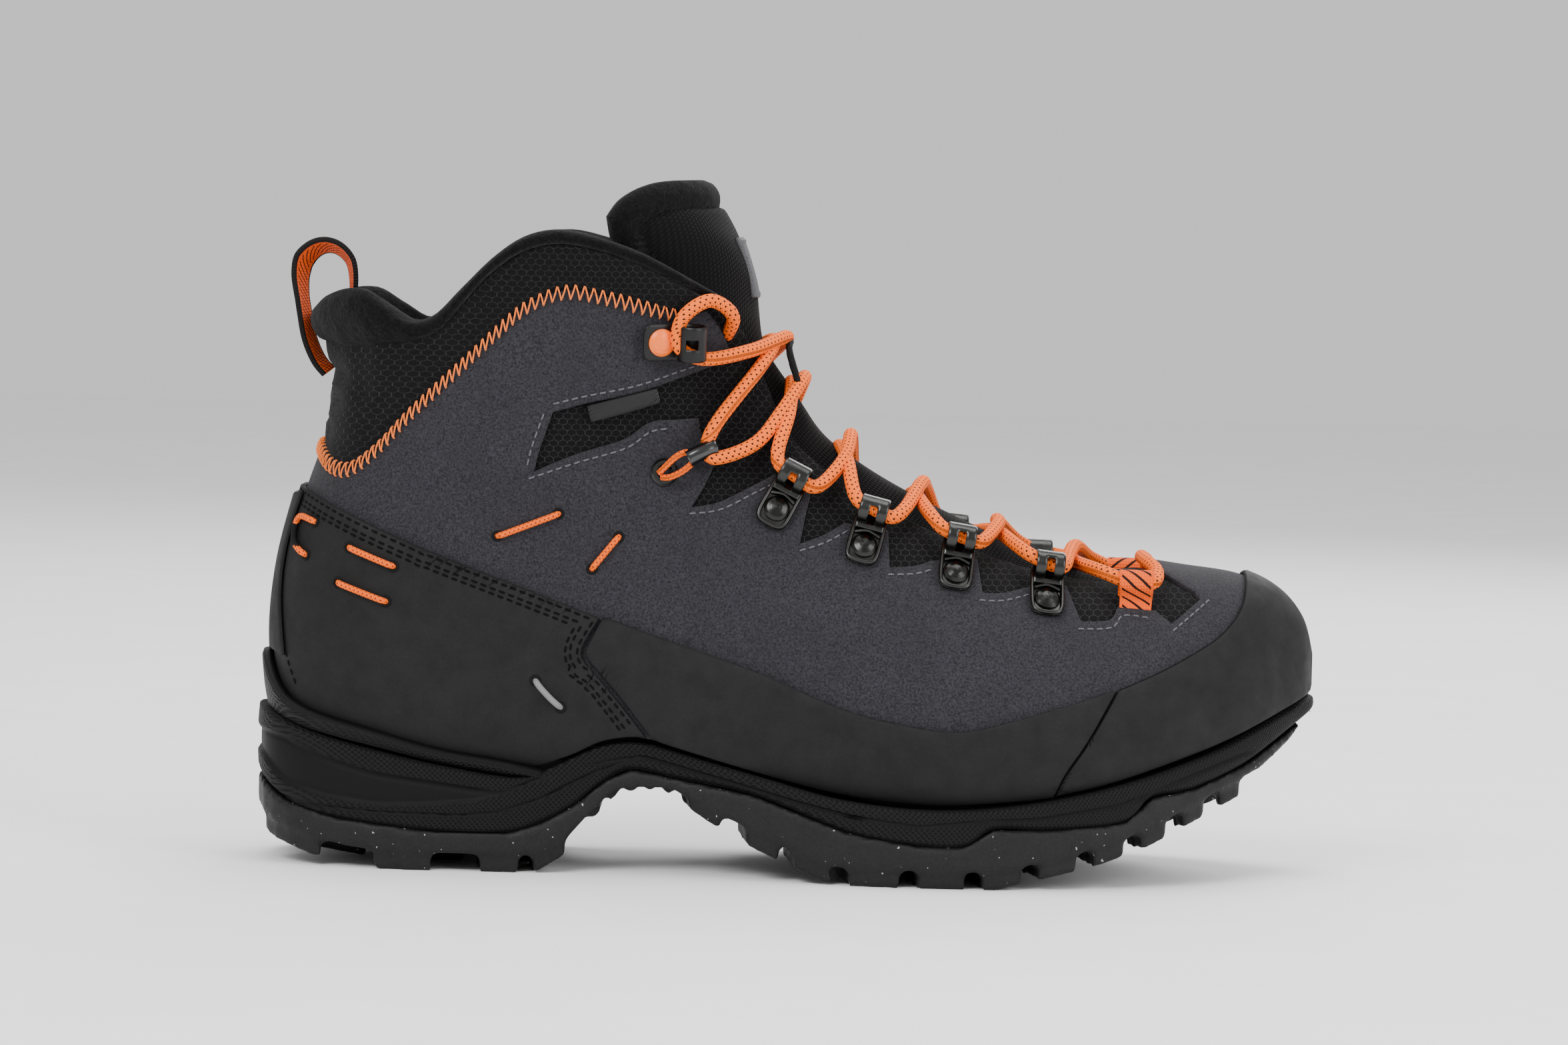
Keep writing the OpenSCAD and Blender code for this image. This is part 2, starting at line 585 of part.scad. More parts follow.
// A closed hook: a riveted plate whose upper end rolls over into a channel for the lace.
module lace_hook(p, side) place() color("#464644") on_skin(p, side, hook_lift)
    difference() {
        union() {
            hull() {
                cylinder(h = plate_t, r = 5.2, $fn = 32);
                translate([channel_x - 1, -5.2, 0]) cube([1, 10.4, plate_t]);
            }
            translate([channel_x, 0, channel_z]) rotate([90, 0, 0])
                cylinder(h = 10.4, r = channel_r + channel_wall, center = true, $fn = 40);
        }
        translate([0, 0, -1]) cylinder(h = 4, r = rivet_r + 0.05, $fn = 32);
        translate([channel_x, 0, channel_z]) rotate([90, 0, 0])
            cylinder(h = 20, r = channel_r, center = true, $fn = 40);
        translate([channel_x - 1, -3, channel_z]) cube([2, 6, 6]);
    }
module lace_hook_outer_1() lace_hook(HOOK_PLACES[0], outer);
module lace_hook_outer_2() lace_hook(HOOK_PLACES[1], outer);
module lace_hook_outer_3() lace_hook(HOOK_PLACES[2], outer);
module lace_hook_outer_4() lace_hook(HOOK_PLACES[3], outer);
module lace_hook_inner_1() lace_hook(HOOK_PLACES[0], inner);
module lace_hook_inner_2() lace_hook(HOOK_PLACES[1], inner);
module lace_hook_inner_3() lace_hook(HOOK_PLACES[2], inner);
module lace_hook_inner_4() lace_hook(HOOK_PLACES[3], inner);

// A domed rivet standing on a plate, with its shank down through the hole.
module rivet(head_r) {
    rotate_extrude($fn = 40)
        polygon([[0, -plate_t], [rivet_r, -plate_t], [rivet_r, 0], [head_r, 0],
                 [head_r, 0.5], [head_r - 0.8, 1.2], [head_r - 2.2, 1.7], [0, 1.9]]);
}
module lace_hook_rivets() place() color("#3c3c3a")
    for (p = HOOK_PLACES) for (side = [outer, inner])
        on_skin(p, side, hook_lift + plate_t) rivet(3.7);

TOP_HOOK_PLACE = [121, 151.5];
top_hook_turn = 24;
top_hook_lift = 1.4;
top_rivet_x = -8;
module top_hook(side) place() color("#464644")
    on_skin(TOP_HOOK_PLACE, side, top_hook_lift, top_hook_turn) difference() {
        union() {
            hull() {
                translate([top_rivet_x, 0, 0]) cylinder(h = plate_t, r = 4.8, $fn = 32);
                translate([9, -4.8, 0]) cube([1, 9.6, plate_t]);
            }
            translate([0, 0, channel_z]) rotate([90, 0, 0])
                cylinder(h = 9.6, r = channel_r + channel_wall, center = true, $fn = 40);
            translate([0, -4.8, channel_z + channel_r]) cube([9, 9.6, channel_wall]);
        }
        translate([top_rivet_x, 0, -1]) cylinder(h = 4, r = rivet_r + 0.05, $fn = 32);
        translate([0, 0, channel_z]) rotate([90, 0, 0])
            cylinder(h = 20, r = channel_r, center = true, $fn = 40);
        translate([0, -5, plate_t]) cube([5, 10, channel_z + channel_r - plate_t]);
        translate([1, -1.2, channel_z]) cube([3, 2.4, 6]);
    }
module top_hook_outer() top_hook(outer);
module top_hook_inner() top_hook(inner);
module top_hook_rivets() place() color("#f4823f") for (side = [outer, inner])
    on_skin(TOP_HOOK_PLACE, side, top_hook_lift + plate_t, top_hook_turn)
        translate([top_rivet_x, 0, 0]) rivet(3.9);

EYELET_PLACE = [116, 114];
module eyelet(side) place() color("#3c3c3a") on_skin(EYELET_PLACE, side, 2 * gap)
    rotate_extrude($fn = 40)
        polygon([[2.3, 0], [3.9, 0], [3.9, 0.4], [3.3, 1], [2.3, 1.1]]);
module eyelet_outer() eyelet(outer);
module eyelet_inner() eyelet(inner);

// The sleeve that the lace turns through, held back to the eyelet by a loop of cable.
ferrule_bore = 2.4;
ferrule_wall = 1.1;
module ferrule(side) place() color("#1e1e1e") translate([129.3, side * 31.5, 120.2])
    rotate([0, 135, 0]) difference() {
        union() {
            cylinder(h = 4.6, r = ferrule_bore + ferrule_wall, center = true, $fn = 40);
            translate([-6.5, -1.7, -2.3]) cube([4.5, 3.4, 4.6]);
        }
        cylinder(h = 8, r = ferrule_bore, center = true, $fn = 40);
    }
module ferrule_outer() ferrule(outer);
module ferrule_inner() ferrule(inner);

module cable_loop(side) place() color("#f4823f") {
    cord_tube([[115.4, side * 32.6, 114.4], [118, side * 33.4, 117.6], [121, side * 33.4, 120],
               [123.2, side * 33.2, 119.6]], cable_d);
    cord_tube([[117.2, side * 32.7, 112.9], [120, side * 33.4, 113.4], [123.2, side * 33.4, 114.8],
               [125, side * 33.2, 116]], cable_d);
}
module cable_loop_outer() cable_loop(outer);
module cable_loop_inner() cable_loop(inner);

// Stretches of the heel cable that show between the holes it runs through.
SUEDE_DASHES = [[[69, 95], [78, 98.5], [87, 102]], [[96, 86], [100, 91], [104, 96]]];
PANEL_DASHES = [[[28, 91], [34.5, 88.5], [41, 86]], [[25, 81], [32, 78.5], [39, 76]],
                [[19, 97], [15, 98], [13.4, 94.5], [13.6, 90.5], [16.5, 87.5]],
                [[81, 55], [85, 51], [89, 47]]];
module heel_cable(side) place() color("#f4823f") {
    on_suede = cable_d / 2 + 0.15;
    on_panel = on_suede + gap + rand_thickness;
    for (line = SUEDE_DASHES) cord_tube([for (p = line) skin(p, side, on_suede)], cable_d);
    for (line = PANEL_DASHES) cord_tube([for (p = line) skin(p, side, on_panel)], cable_d);
}
module heel_cable_outer() heel_cable(outer);
module heel_cable_inner() heel_cable(inner);

// A folded webbing loop that the lace turns through at the foot of the throat.
toe_loop_bore = 2.7;
module toe_loop(y) place() color("#f07a3c") translate([244.5, y, 85.8]) rotate([0, 90, 0])
    difference() {
        cylinder(h = 9, r = toe_loop_bore + 0.9, $fn = 32);
        translate([0, 0, -1]) cylinder(h = 11, r = toe_loop_bore, $fn = 32);
    }
module toe_loop_outer() toe_loop(-28);
module toe_loop_inner() toe_loop(32);

// ---- Lace ----
// From the outer tail inside the shaft down to the toe and back up to the inner tail.
LACE_ROUTE = [
    [123, -17, 124], [127, -17, 141], [131.5, -19, 151], [134.5, -27, 158.5],
    [128, -32, 163], [120.5, -36.5, 158], [119.5, -36, 150], [127, -33, 146.5],
    [140, -21, 149], [150, 0, 152.6], [143.5, 19, 145], [131, 29.5, 129], [128, 31.5, 121.5],
    [131, 31.5, 118.5], [142, 27, 123], [149.5, 18, 132.5], [151.5, 0, 139.8],
    [151, -18, 131.5], [148, -29, 119], [153, -30.5, 114.2], [159.5, -29, 111],
    [167, -18, 118.5], [169, 0, 124.9], [169.8, 18, 117], [170.5, 27, 108.5],
    [176, 27.2, 105.2], [182, 26, 103], [187.5, 12, 108], [188.3, -8, 108],
    [192, -24, 103.5], [195.5, -29.5, 100], [200.5, -30.3, 98], [206.5, -28, 96.4],
    [211.7, -11, 100.7], [212.3, 9, 100.5], [218.5, 25, 94.3], [225.3, 29.2, 90.8],
    [231, 27, 90], [234, 10, 90.2], [234.8, -8, 89.9], [241, -23.5, 88.5], [249, -28, 85.8],
    [255.5, -27, 85.8], [257, -19, 88.6], [254.5, -8, 91],
    [254.5, 12, 91], [257, 23, 88.8], [256, 31, 85.8], [249, 32, 85.8], [240.5, 26, 89.5], [235, 5, 94],
    [232, -15, 92.5], [230, -27, 89.8], [225.8, -28.6, 90.6], [219.5, -27, 93.5],
    [212, -8, 98.2], [209, 10, 97.8], [205.5, 25, 96.6], [200.2, 26.8, 98.2],
    [195, 26.2, 101], [191.3, 12, 109.5], [189.5, -6, 111.6], [185, -23.5, 105.5],
    [181, -29.8, 102.8], [176, -31, 105], [170.5, -30, 108.4], [168, -17, 118],
    [165.8, 0, 121.6], [163.5, 17.5, 116], [158.5, 26.5, 111], [153.5, 27.9, 114],
    [148.3, 27.5, 118.5], [151.5, 17.5, 130.5], [155.3, 0, 141.3], [149.5, -18.5, 132.5],
    [142, -27, 123], [131, -31.5, 118.5], [128, -31.5, 121.5], [131, -29.5, 129],
    [143, -18.5, 145], [146.2, 0, 151.6], [140, 21, 149], [127, 33, 146.5],
    [119.5, 36, 150], [120.5, 36.5, 158], [128, 32, 163], [134.5, 27, 158.5],
    [131.5, 19, 151], [127, 17, 141], [123, 17, 124]
];
module lace() place() color("#f4823f") cord_tube(LACE_ROUTE, lace_d);

aglet_d = 3.4;
module aglets() place() color("#2a2a2a") for (side = [outer, inner])
    cord_tube([[122.8, side * 17, 123.4], [121, side * 17, 116], [119.5, side * 17, 109]],
              aglet_d);

outsole();
midsole();
heel_cradle();
shank();
insole_board();
footbed();
suede_upper();
toe_rand();
rand_outer();
rand_inner();
heel_overlay_outer();
heel_overlay_inner();
back_strip();
heel_counter();
toe_puff();
lining_outer();
lining_inner();
mesh_underlay_outer();
mesh_underlay_inner();
collar();
side_label();
tongue();
tongue_top();
tongue_label();
lace_keeper();
pull_loop_anchor();
pull_loop();
lace_hook_outer_1();
lace_hook_outer_2();
lace_hook_outer_3();
lace_hook_outer_4();
lace_hook_inner_1();
lace_hook_inner_2();
lace_hook_inner_3();
lace_hook_inner_4();
lace_hook_rivets();
top_hook_outer();
top_hook_inner();
top_hook_rivets();
eyelet_outer();
eyelet_inner();
cable_loop_outer();
cable_loop_inner();
ferrule_outer();
ferrule_inner();
heel_cable_outer();
heel_cable_inner();
toe_loop_outer();
toe_loop_inner();
lace();
aglets();
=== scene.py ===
"""Looks of a mid-height hiking boot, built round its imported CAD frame.

Shapes are drawn in millimetres in the boot's own drawing frame: x from heel to toe, y to
the inner side of the foot, z up. metres() moves them into the frame that the CAD uses.
A panel of the upper is an outline in the side view, wrapped onto one foot shape.
"""
import math

import bpy
import numpy as np
from mathutils import Matrix, Vector, geometry


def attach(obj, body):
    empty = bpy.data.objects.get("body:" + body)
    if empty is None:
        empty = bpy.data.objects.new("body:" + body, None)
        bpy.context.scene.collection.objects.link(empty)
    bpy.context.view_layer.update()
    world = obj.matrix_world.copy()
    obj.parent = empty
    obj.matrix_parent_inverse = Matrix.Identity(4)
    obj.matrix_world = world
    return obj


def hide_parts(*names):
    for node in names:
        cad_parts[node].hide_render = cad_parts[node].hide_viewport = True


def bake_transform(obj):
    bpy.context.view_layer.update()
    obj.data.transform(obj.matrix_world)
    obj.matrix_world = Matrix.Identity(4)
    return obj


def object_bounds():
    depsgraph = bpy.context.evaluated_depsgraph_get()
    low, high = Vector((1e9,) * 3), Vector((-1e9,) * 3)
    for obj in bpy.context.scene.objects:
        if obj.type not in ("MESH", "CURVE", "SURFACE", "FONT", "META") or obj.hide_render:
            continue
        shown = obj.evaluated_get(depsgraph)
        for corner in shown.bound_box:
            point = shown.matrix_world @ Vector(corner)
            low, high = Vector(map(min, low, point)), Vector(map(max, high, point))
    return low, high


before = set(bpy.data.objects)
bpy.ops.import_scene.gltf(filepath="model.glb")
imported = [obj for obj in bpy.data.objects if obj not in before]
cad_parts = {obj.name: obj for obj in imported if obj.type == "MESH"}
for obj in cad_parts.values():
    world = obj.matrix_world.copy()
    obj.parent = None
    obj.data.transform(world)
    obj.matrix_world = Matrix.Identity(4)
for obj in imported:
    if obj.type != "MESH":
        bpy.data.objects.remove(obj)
CAD_BOX = [list(corner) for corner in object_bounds()]

OUTER = -1
INNER = 1
SIDES = ((OUTER, "outer"), (INNER, "inner"))
DRAWN_LENGTH = 305
SCALE = (CAD_BOX[1][0] - CAD_BOX[0][0]) / DRAWN_LENGTH
MIDDLE = np.array([152.5, -1.3, 0])


def metres(points):
    return (np.asarray(points, float) - MIDDLE) * SCALE


def unit(vectors):
    """Vectors brought to length one."""
    return vectors / np.maximum(np.linalg.norm(vectors, axis=-1, keepdims=True), 1e-9)


def distances(points):
    """How far along a line of points each one lies."""
    return np.concatenate([[0], np.cumsum(np.linalg.norm(np.diff(points, axis=0), axis=1))])


def at_stops(dense, walked, stops):
    """The rows of dense, at walked along their line, read off at stops."""
    return np.stack([np.interp(stops, walked, column) for column in dense.T], -1)


# ---- Foot shape ----
# Each row is one section through the outer face of the suede, from a point on the ridge
# over the instep to a point on the bottom or the back of the heel: ridge x, ridge z,
# base x, base z, width outside, width inside, centre y, share of the height at which it
# is widest, roundness above, roundness below.
SECTIONS = np.array([
    [303, 64, 303, 44, 0, 0, 9, 0.6, 2.3, 3],
    [300, 74, 300, 42, 10.5, 9, 8.8, 0.6, 2.3, 3],
    [293, 82, 293.5, 38, 20, 17, 8, 0.6, 2.3, 3.2],
    [282, 87, 283, 34, 32, 28, 7, 0.62, 2.3, 3.6],
    [265, 89.5, 266, 28, 41.5, 38.5, 5, 0.66, 2.1, 4],
    [245, 92.5, 246, 22, 49.5, 45.5, 3, 0.68, 1.9, 4],
    [225, 97, 224, 18, 53, 48.5, 1.5, 0.7, 1.75, 4],
    [207, 104.5, 200, 15, 53, 46, 0.5, 0.7, 1.7, 4],
    [191, 112, 175, 16, 50, 42, 0, 0.7, 1.7, 4],
    [178, 119, 148, 19, 45.5, 39, 0, 0.7, 1.75, 4],
    [167, 127, 120, 21, 42, 37, 0, 0.7, 1.8, 4],
    [160, 135, 90, 22, 39, 36.5, 0, 0.7, 1.9, 4],
    [156, 142, 58, 24, 37, 37, 0, 0.7, 2, 4],
    [153, 148, 30, 27, 36, 36, 0, 0.72, 2.1, 3.8],
    [151, 153, 11, 39, 36, 36, 0, 0.72, 2.2, 3],
    [150, 158, 6, 60, 37, 37, 0, 0.7, 2.2, 2.5],
    [149, 163, 7, 82, 38, 38, 0, 0.65, 2.3, 2.4],
    [148, 169, 12, 104, 38.5, 38.5, 0, 0.6, 2.3, 2.3],
    [146, 176, 19, 126, 38, 38, 0, 0.55, 2.3, 2.3],
    [143, 184, 20, 142, 38.5, 38.5, 0, 0.52, 2.3, 2.3],
    [138, 192, 14, 158, 40, 40, 0, 0.5, 2.3, 2.3],
    [131, 202, 18, 178, 41, 41, 0, 0.5, 2.3, 2.3],
])
LAST_SECTION = len(SECTIONS) - 1


def along(rows, t):
    """A smooth curve through rows, where t counts rows and may fall between them."""
    rows = np.asarray(rows, float)
    t = np.asarray(t, float)
    i = np.clip(np.floor(t).astype(int), 0, len(rows) - 2)
    f = (t - i)[..., None]
    a, b, c, d = (rows[np.clip(i + k, 0, len(rows) - 1)] for k in (-1, 0, 1, 2))
    return b + 0.5 * f * (c - a + f * (2 * a - 5 * b + 4 * c - d + f * (3 * (b - c) + d - a)))


def foot_on(t, angle, side):
    """A point of the foot shape on section t, at an angle down from the ridge."""
    q = along(SECTIONS, np.clip(t, 0, LAST_SECTION))
    c = np.cos(np.radians(angle))
    s = np.sin(np.radians(angle))
    power = 2 / np.where(c > 0, q[..., 8], q[..., 9])
    drop = np.abs(c) ** power
    share = np.where(c > 0, q[..., 7] * (1 - drop), q[..., 7] + (1 - q[..., 7]) * drop)
    width = np.where(side < 0, q[..., 4], q[..., 5]) * np.sign(s) * np.abs(s) ** power
    return np.stack([
        q[..., 0] + (q[..., 2] - q[..., 0]) * share,
        q[..., 6] + side * width,
        q[..., 1] + (q[..., 3] - q[..., 1]) * share,
    ], -1)


def foot(q, lift=0.0):
    """Points of the foot shape at places q = (section, angle), where the angle is
    negative on the outer side, moved outwards by lift."""
    q = np.asarray(q, float)
    t, a = q[..., 0], np.abs(q[..., 1])
    side = np.where(q[..., 1] < 0, OUTER, INNER)
    return foot_on(t, a, side) + np.asarray(lift)[..., None] * foot_normal(q)


def foot_normal(q):
    q = np.asarray(q, float)
    t, a = q[..., 0], np.abs(q[..., 1])
    side = np.where(q[..., 1] < 0, OUTER, INNER)
    dt = foot_on(t + 0.05, a, side) - foot_on(t - 0.05, a, side)
    da = foot_on(t, a + 1, side) - foot_on(t, a - 1, side)
    return unit(-side[..., None] * np.cross(dt, da))


HALVINGS = 24


def place(points, side):
    """Where points (x, z) of the side view lie on one side of the foot shape."""
    p = np.asarray(points, float)
    low = np.zeros(p.shape[:-1])
    high = np.full(p.shape[:-1], float(LAST_SECTION))
    for _ in range(HALVINGS):
        t = (low + high) / 2
        q = along(SECTIONS, t)
        beyond = ((q[..., 2] - q[..., 0]) * (p[..., 1] - q[..., 1])
                  - (q[..., 3] - q[..., 1]) * (p[..., 0] - q[..., 0])) > 0
        high = np.where(beyond, t, high)
        low = np.where(beyond, low, t)
    start = q[..., [0, 1]]
    line = q[..., [2, 3]] - start
    s = np.clip(((p - start) * line).sum(-1) / (line * line).sum(-1), 0, 1)
    below = s > q[..., 7]
    u = np.where(below, (s - q[..., 7]) / (1 - q[..., 7]), 1 - s / q[..., 7])
    power = np.where(below, q[..., 9], q[..., 8]) / 2
    a = np.degrees(np.arccos(np.clip(np.clip(u, 0, 1) ** power, 0, 1)))
    return np.stack([t, side * np.where(below, 180 - a, a)], -1)


def resample(dense, shape, step):
    """Rows of dense at an even step along shape, which has one point for each row."""
    walked = distances(shape)
    count = max(1, round(walked[-1] / step))
    return at_stops(dense, walked, np.linspace(0, walked[-1], count + 1))


def spline(points, per_span=12):
    points = np.asarray(points, float)
    return along(points, np.linspace(0, len(points) - 1, per_span * (len(points) - 1) + 1))


def trace(points, side, step=1.4):
    """A side-view line wrapped onto one side, as places an even step apart."""
    q = place(spline(points), side)
    return resample(q, foot(q), step)


def outline(t0, t1, angle):
    """A stretch of the foot shape's own outline, along the ridge (0) or the base (180)."""
    t = np.linspace(t0, t1, 120)
    q = np.stack([t, np.full_like(t, angle)], -1)
    return resample(q, foot(q), 1.4)


def joined(*lines):
    out = [np.asarray(lines[0])]
    for line in lines[1:]:
        line = np.asarray(line)
        if np.linalg.norm(line[0] - out[-1][-1]) < 1e-3:
            line = line[1:]
        out.append(line)
    return np.concatenate(out)


def mirrored(q):
    """The same places on the other side, in the opposite order."""
    return (q * [1, -1])[::-1]


# ---- Mesh helpers ----
def new_object(name, shape, materials, pick=None, smooth_angle=42):
    """A mesh object from a shape: its points in millimetres, its faces, and flat, a vector
    for each point that the materials read. pick gives each face's material."""
    verts, faces, flat = shape
    mesh = bpy.data.meshes.new(name)
    mesh.from_pydata(metres(verts).tolist(), [], [list(map(int, f)) for f in faces])
    attribute = mesh.attributes.new("flat", "FLOAT_VECTOR", "POINT")
    attribute.data.foreach_set("vector", np.asarray(flat, np.float32).ravel())
    for material in materials:
        mesh.materials.append(material)
    mesh.polygons.foreach_set("use_smooth", [True] * len(mesh.polygons))
    if pick is not None:
        mesh.polygons.foreach_set("material_index", [int(k) for k in pick])
    mesh.update()
    mesh.set_sharp_from_angle(angle=math.radians(smooth_angle))
    obj = bpy.data.objects.new(name, mesh)
    bpy.context.scene.collection.objects.link(obj)
    return obj


def inside(points, loop):
    """Which points lie inside a closed loop, by counting the edges to their right."""
    x, y = points[:, 0][:, None], points[:, 1][:, None]
    a, b = loop, np.roll(loop, -1, axis=0)
    crosses = (a[:, 1] > y) != (b[:, 1] > y)
    rise = np.where(b[:, 1] == a[:, 1], 1e-12, b[:, 1] - a[:, 1])
    reach = a[:, 0] + (y - a[:, 1]) * (b[:, 0] - a[:, 0]) / rise
    return (crosses & (x < reach)).sum(1) % 2 == 1


def nearest(points, targets):
    out = np.empty(len(points))
    for i in range(0, len(points), 2000):
        d = points[i:i + 2000, None, :] - targets[None, :, :]
        out[i:i + 2000] = np.sqrt((d * d).sum(-1).min(1))
    return out


def area_of(loop):
    x, y = loop[:, 0], loop[:, 1]
    return 0.5 * np.sum(x * np.roll(y, -1) - np.roll(x, -1) * y)


def inwards(loop, closed=True):
    """The direction in space from each place of a loop into the panel."""
    p = foot(loop)
    ahead = np.roll(p, -1, axis=0)
    behind = np.roll(p, 1, axis=0)
    if not closed:
        ahead[-1], behind[0] = p[-1], p[0]
    return np.cross(unit(ahead - behind), foot_normal(loop))


SHIFT_STEPS = 5
NUDGE_T = 0.01
NUDGE_A = 0.2


def shifted(q, offset):
    """Places moved along the surface by a small offset in space, in short steps."""
    for _ in range(SHIFT_STEPS):
        dt = (foot(q + [NUDGE_T, 0]) - foot(q - [NUDGE_T, 0])) / (2 * NUDGE_T)
        da = (foot(q + [0, NUDGE_A]) - foot(q - [0, NUDGE_A])) / (2 * NUDGE_A)
        tt, ta, aa = (dt * dt).sum(-1), (dt * da).sum(-1), (da * da).sum(-1)
        bt, ba = (dt * offset).sum(-1) / SHIFT_STEPS, (da * offset).sum(-1) / SHIFT_STEPS
        det = np.maximum(tt * aa - ta * ta, 1e-9)
        q = q + np.stack([(bt * aa - ba * ta) / det, (ba * tt - bt * ta) / det], -1)
    return q


def rounded(radius):
    """An edge rounded over by radius, as the drop at each distance from the edge."""
    return lambda d: radius - np.sqrt(radius ** 2 - np.clip(radius - d, 0, radius) ** 2)


def welded(q, p):
    """For each point, the first of those that meet it across the heel or the toe."""
    same = np.arange(len(q))
    seam = np.where((np.abs(q[:, 1]) > 179.99) | (q[:, 0] < 1e-3))[0]
    if len(seam):
        apart = np.linalg.norm(p[seam][:, None] - p[seam][None], axis=-1)
        same[seam] = seam[(apart < 0.05).argmax(1)]
    return same


def open_edges(faces):
    """The edges that only one face has, in the order in which they are met."""
    edges = {}
    for face in faces:
        for a, b in zip(face, face[1:] + face[:1]):
            if (b, a) in edges:
                del edges[(b, a)]
            else:
                edges[(a, b)] = True
    return list(edges)


# Brings sections and degrees to about one scale, in which the panels are triangulated.
DOMAIN = np.array([20, 0.8])


def filling(loop, edge, spacing):
    """Places inside a loop: two rows along its edge, and a staggered grid."""
    rim = foot(loop)
    rows = []
    for inset in (0.3 * edge, edge):
        row = shifted(loop, inwards(loop) * inset)
        rows.append(row[nearest(foot(row), rim) > 0.75 * inset])
    grid_t = np.arange(0, LAST_SECTION + 0.01, spacing / 26)
    grid_a = np.arange(-180, 180.1, spacing / 0.75)
    tt, aa = np.meshgrid(grid_t, grid_a)
    aa = aa + (np.arange(len(grid_t)) % 2)[None, :] * spacing / 1.5
    grid = np.stack([tt.ravel(), aa.ravel()], -1)
    grid = grid[inside(grid, loop)]
    return rows + [grid[nearest(foot(grid), rim) > 0.55 * spacing + edge]]


def triangulated(loop, within):
    """Places and triangles that fill a loop, by way of the places within it."""
    points = np.concatenate([loop] + within)
    count = len(loop)
    border = [(i, (i + 1) % count) for i in range(count)]
    found = geometry.delaunay_2d_cdt([Vector(p) for p in (points * DOMAIN).tolist()],
                                     border, [], 0, 1e-7)
    q = np.array([list(v) for v in found[0]]) / DOMAIN
    tris = np.array(found[2])
    return q, tris[inside(q[tris].mean(1), loop)]


def panel(name, loop, low, high, materials, edge=0.5, spacing=2.6, rise=None, pick=None,
          flat="side"):
    """A piece of sheet inside a loop of places, wrapped onto the foot shape. Its outer face
    lies at lift high, rounded over at the edge, and its inner face at low."""
    drop = rounded(edge)
    loop = np.asarray(loop) if area_of(loop) > 0 else np.asarray(loop)[::-1]
    q, tris = triangulated(loop, filling(loop, edge, spacing))
    p = foot(q)
    same = welded(q, p)
    total = np.zeros_like(p)
    np.add.at(total, same, foot_normal(q))
    n = unit(total)
    tris = same[tris]
    whole = (tris[:, 0] != tris[:, 1]) & (tris[:, 1] != tris[:, 2]) & (tris[:, 0] != tris[:, 2])
    tris = tris[whole]
    out_way = np.cross(p[tris[:, 1]] - p[tris[:, 0]], p[tris[:, 2]] - p[tris[:, 0]])
    wrong = (out_way * n[tris].mean(1)).sum(1) < 0
    tris[wrong] = tris[wrong][:, ::-1]
    border = open_edges(tris.tolist())
    at_edge = np.unique(np.array(border).ravel())
    depth = nearest(p, p[at_edge])
    top = high - drop(depth)
    if rise is not None:
        top = top + rise(p, depth)
    used = np.unique(tris)
    index = np.full(len(p), -1)
    index[used] = np.arange(len(used))
    tris = index[tris]
    p, n, depth, top = p[used], n[used], depth[used], top[used]
    count = len(p)
    under = low + 0.6 * drop(depth)
    verts = np.concatenate([p + n * top[:, None], p + n * under[:, None]])
    rim_faces = [(index[a], index[a] + count, index[b] + count, index[b]) for a, b in border]
    faces = tris.tolist() + (tris[:, ::-1] + count).tolist() + rim_faces
    coords = flat_coords(p, flat)
    coords = np.concatenate([coords, depth[:, None]], 1)
    coords = np.concatenate([coords, coords])
    chosen = None
    if pick is not None:
        middle = p[tris].mean(1)
        mid_depth = depth[tris].mean(1)
        face_pick = pick(middle, mid_depth).astype(int)
        chosen = np.concatenate([face_pick, face_pick, np.zeros(len(rim_faces), int)])
    return new_object(name, (verts, faces, coords), materials, chosen)


def flat_coords(p, kind):
    """Two coordinates in millimetres that lie flat along the surface near p."""
    if kind == "round":
        turn = np.arctan2(p[:, 1], p[:, 0] - 90)
        return np.stack([turn * 42, p[:, 2]], -1)
    if kind == "ridge":
        return np.stack([p[:, 1], (p[:, 2] - p[:, 0]) * 0.75], -1)
    return p[:, [0, 2]]


def frames(path, up):
    """Directions across a path: one as near to up as it can be, and one to its side."""
    heading = unit(np.gradient(path, axis=0))
    side = unit(np.cross(heading, up))
    return np.cross(side, heading), side


def wall(count, around, ring=False, inside_out=False):
    """Faces between count closed rows of points, and over both ends unless it is a ring."""
    faces = []
    for i in range(count if ring else count - 1):
        j = (i + 1) % count
        for k in range(around):
            m = (k + 1) % around
            quad = (i * around + k, i * around + m, j * around + m, j * around + k)
            faces.append(quad[:1] + quad[:0:-1] if inside_out else quad)
    if not ring:
        first, last = range(around)[::-1], range((count - 1) * around, count * around)
        faces += [tuple(end[::-1] if inside_out else end) for end in (first, last)]
    return faces


def tube(path, radius, sides=8, up=(0.13, 0.2, 0.97), flatten=1.0):
    """Points and faces of a closed tube, with its length and girth at each point."""
    path = np.asarray(path, float)
    radius = np.broadcast_to(radius, len(path))
    up = np.broadcast_to(np.asarray(up, float), path.shape)
    rise, side = frames(path, up)
    turn = np.linspace(0, 2 * np.pi, sides, endpoint=False)
    spoke = (np.cos(turn)[None, :, None] * side[:, None, :]
             + flatten * np.sin(turn)[None, :, None] * rise[:, None, :])
    verts = (path[:, None, :] + radius[:, None, None] * spoke).reshape(-1, 3)
    flat = np.stack([np.repeat(distances(path), sides), np.tile(turn, len(path)),
                     np.zeros(len(verts))], -1)
    return verts, wall(len(path), sides, inside_out=True), flat


def gather(parts):
    """Several (points, faces, flat) as one."""
    verts, faces, flats = [], [], []
    start = 0
    for v, f, c in parts:
        verts.append(v)
        flats.append(c)
        faces += [tuple(i + start for i in face) for face in f]
        start += len(v)
    return np.concatenate(verts), faces, np.concatenate(flats)


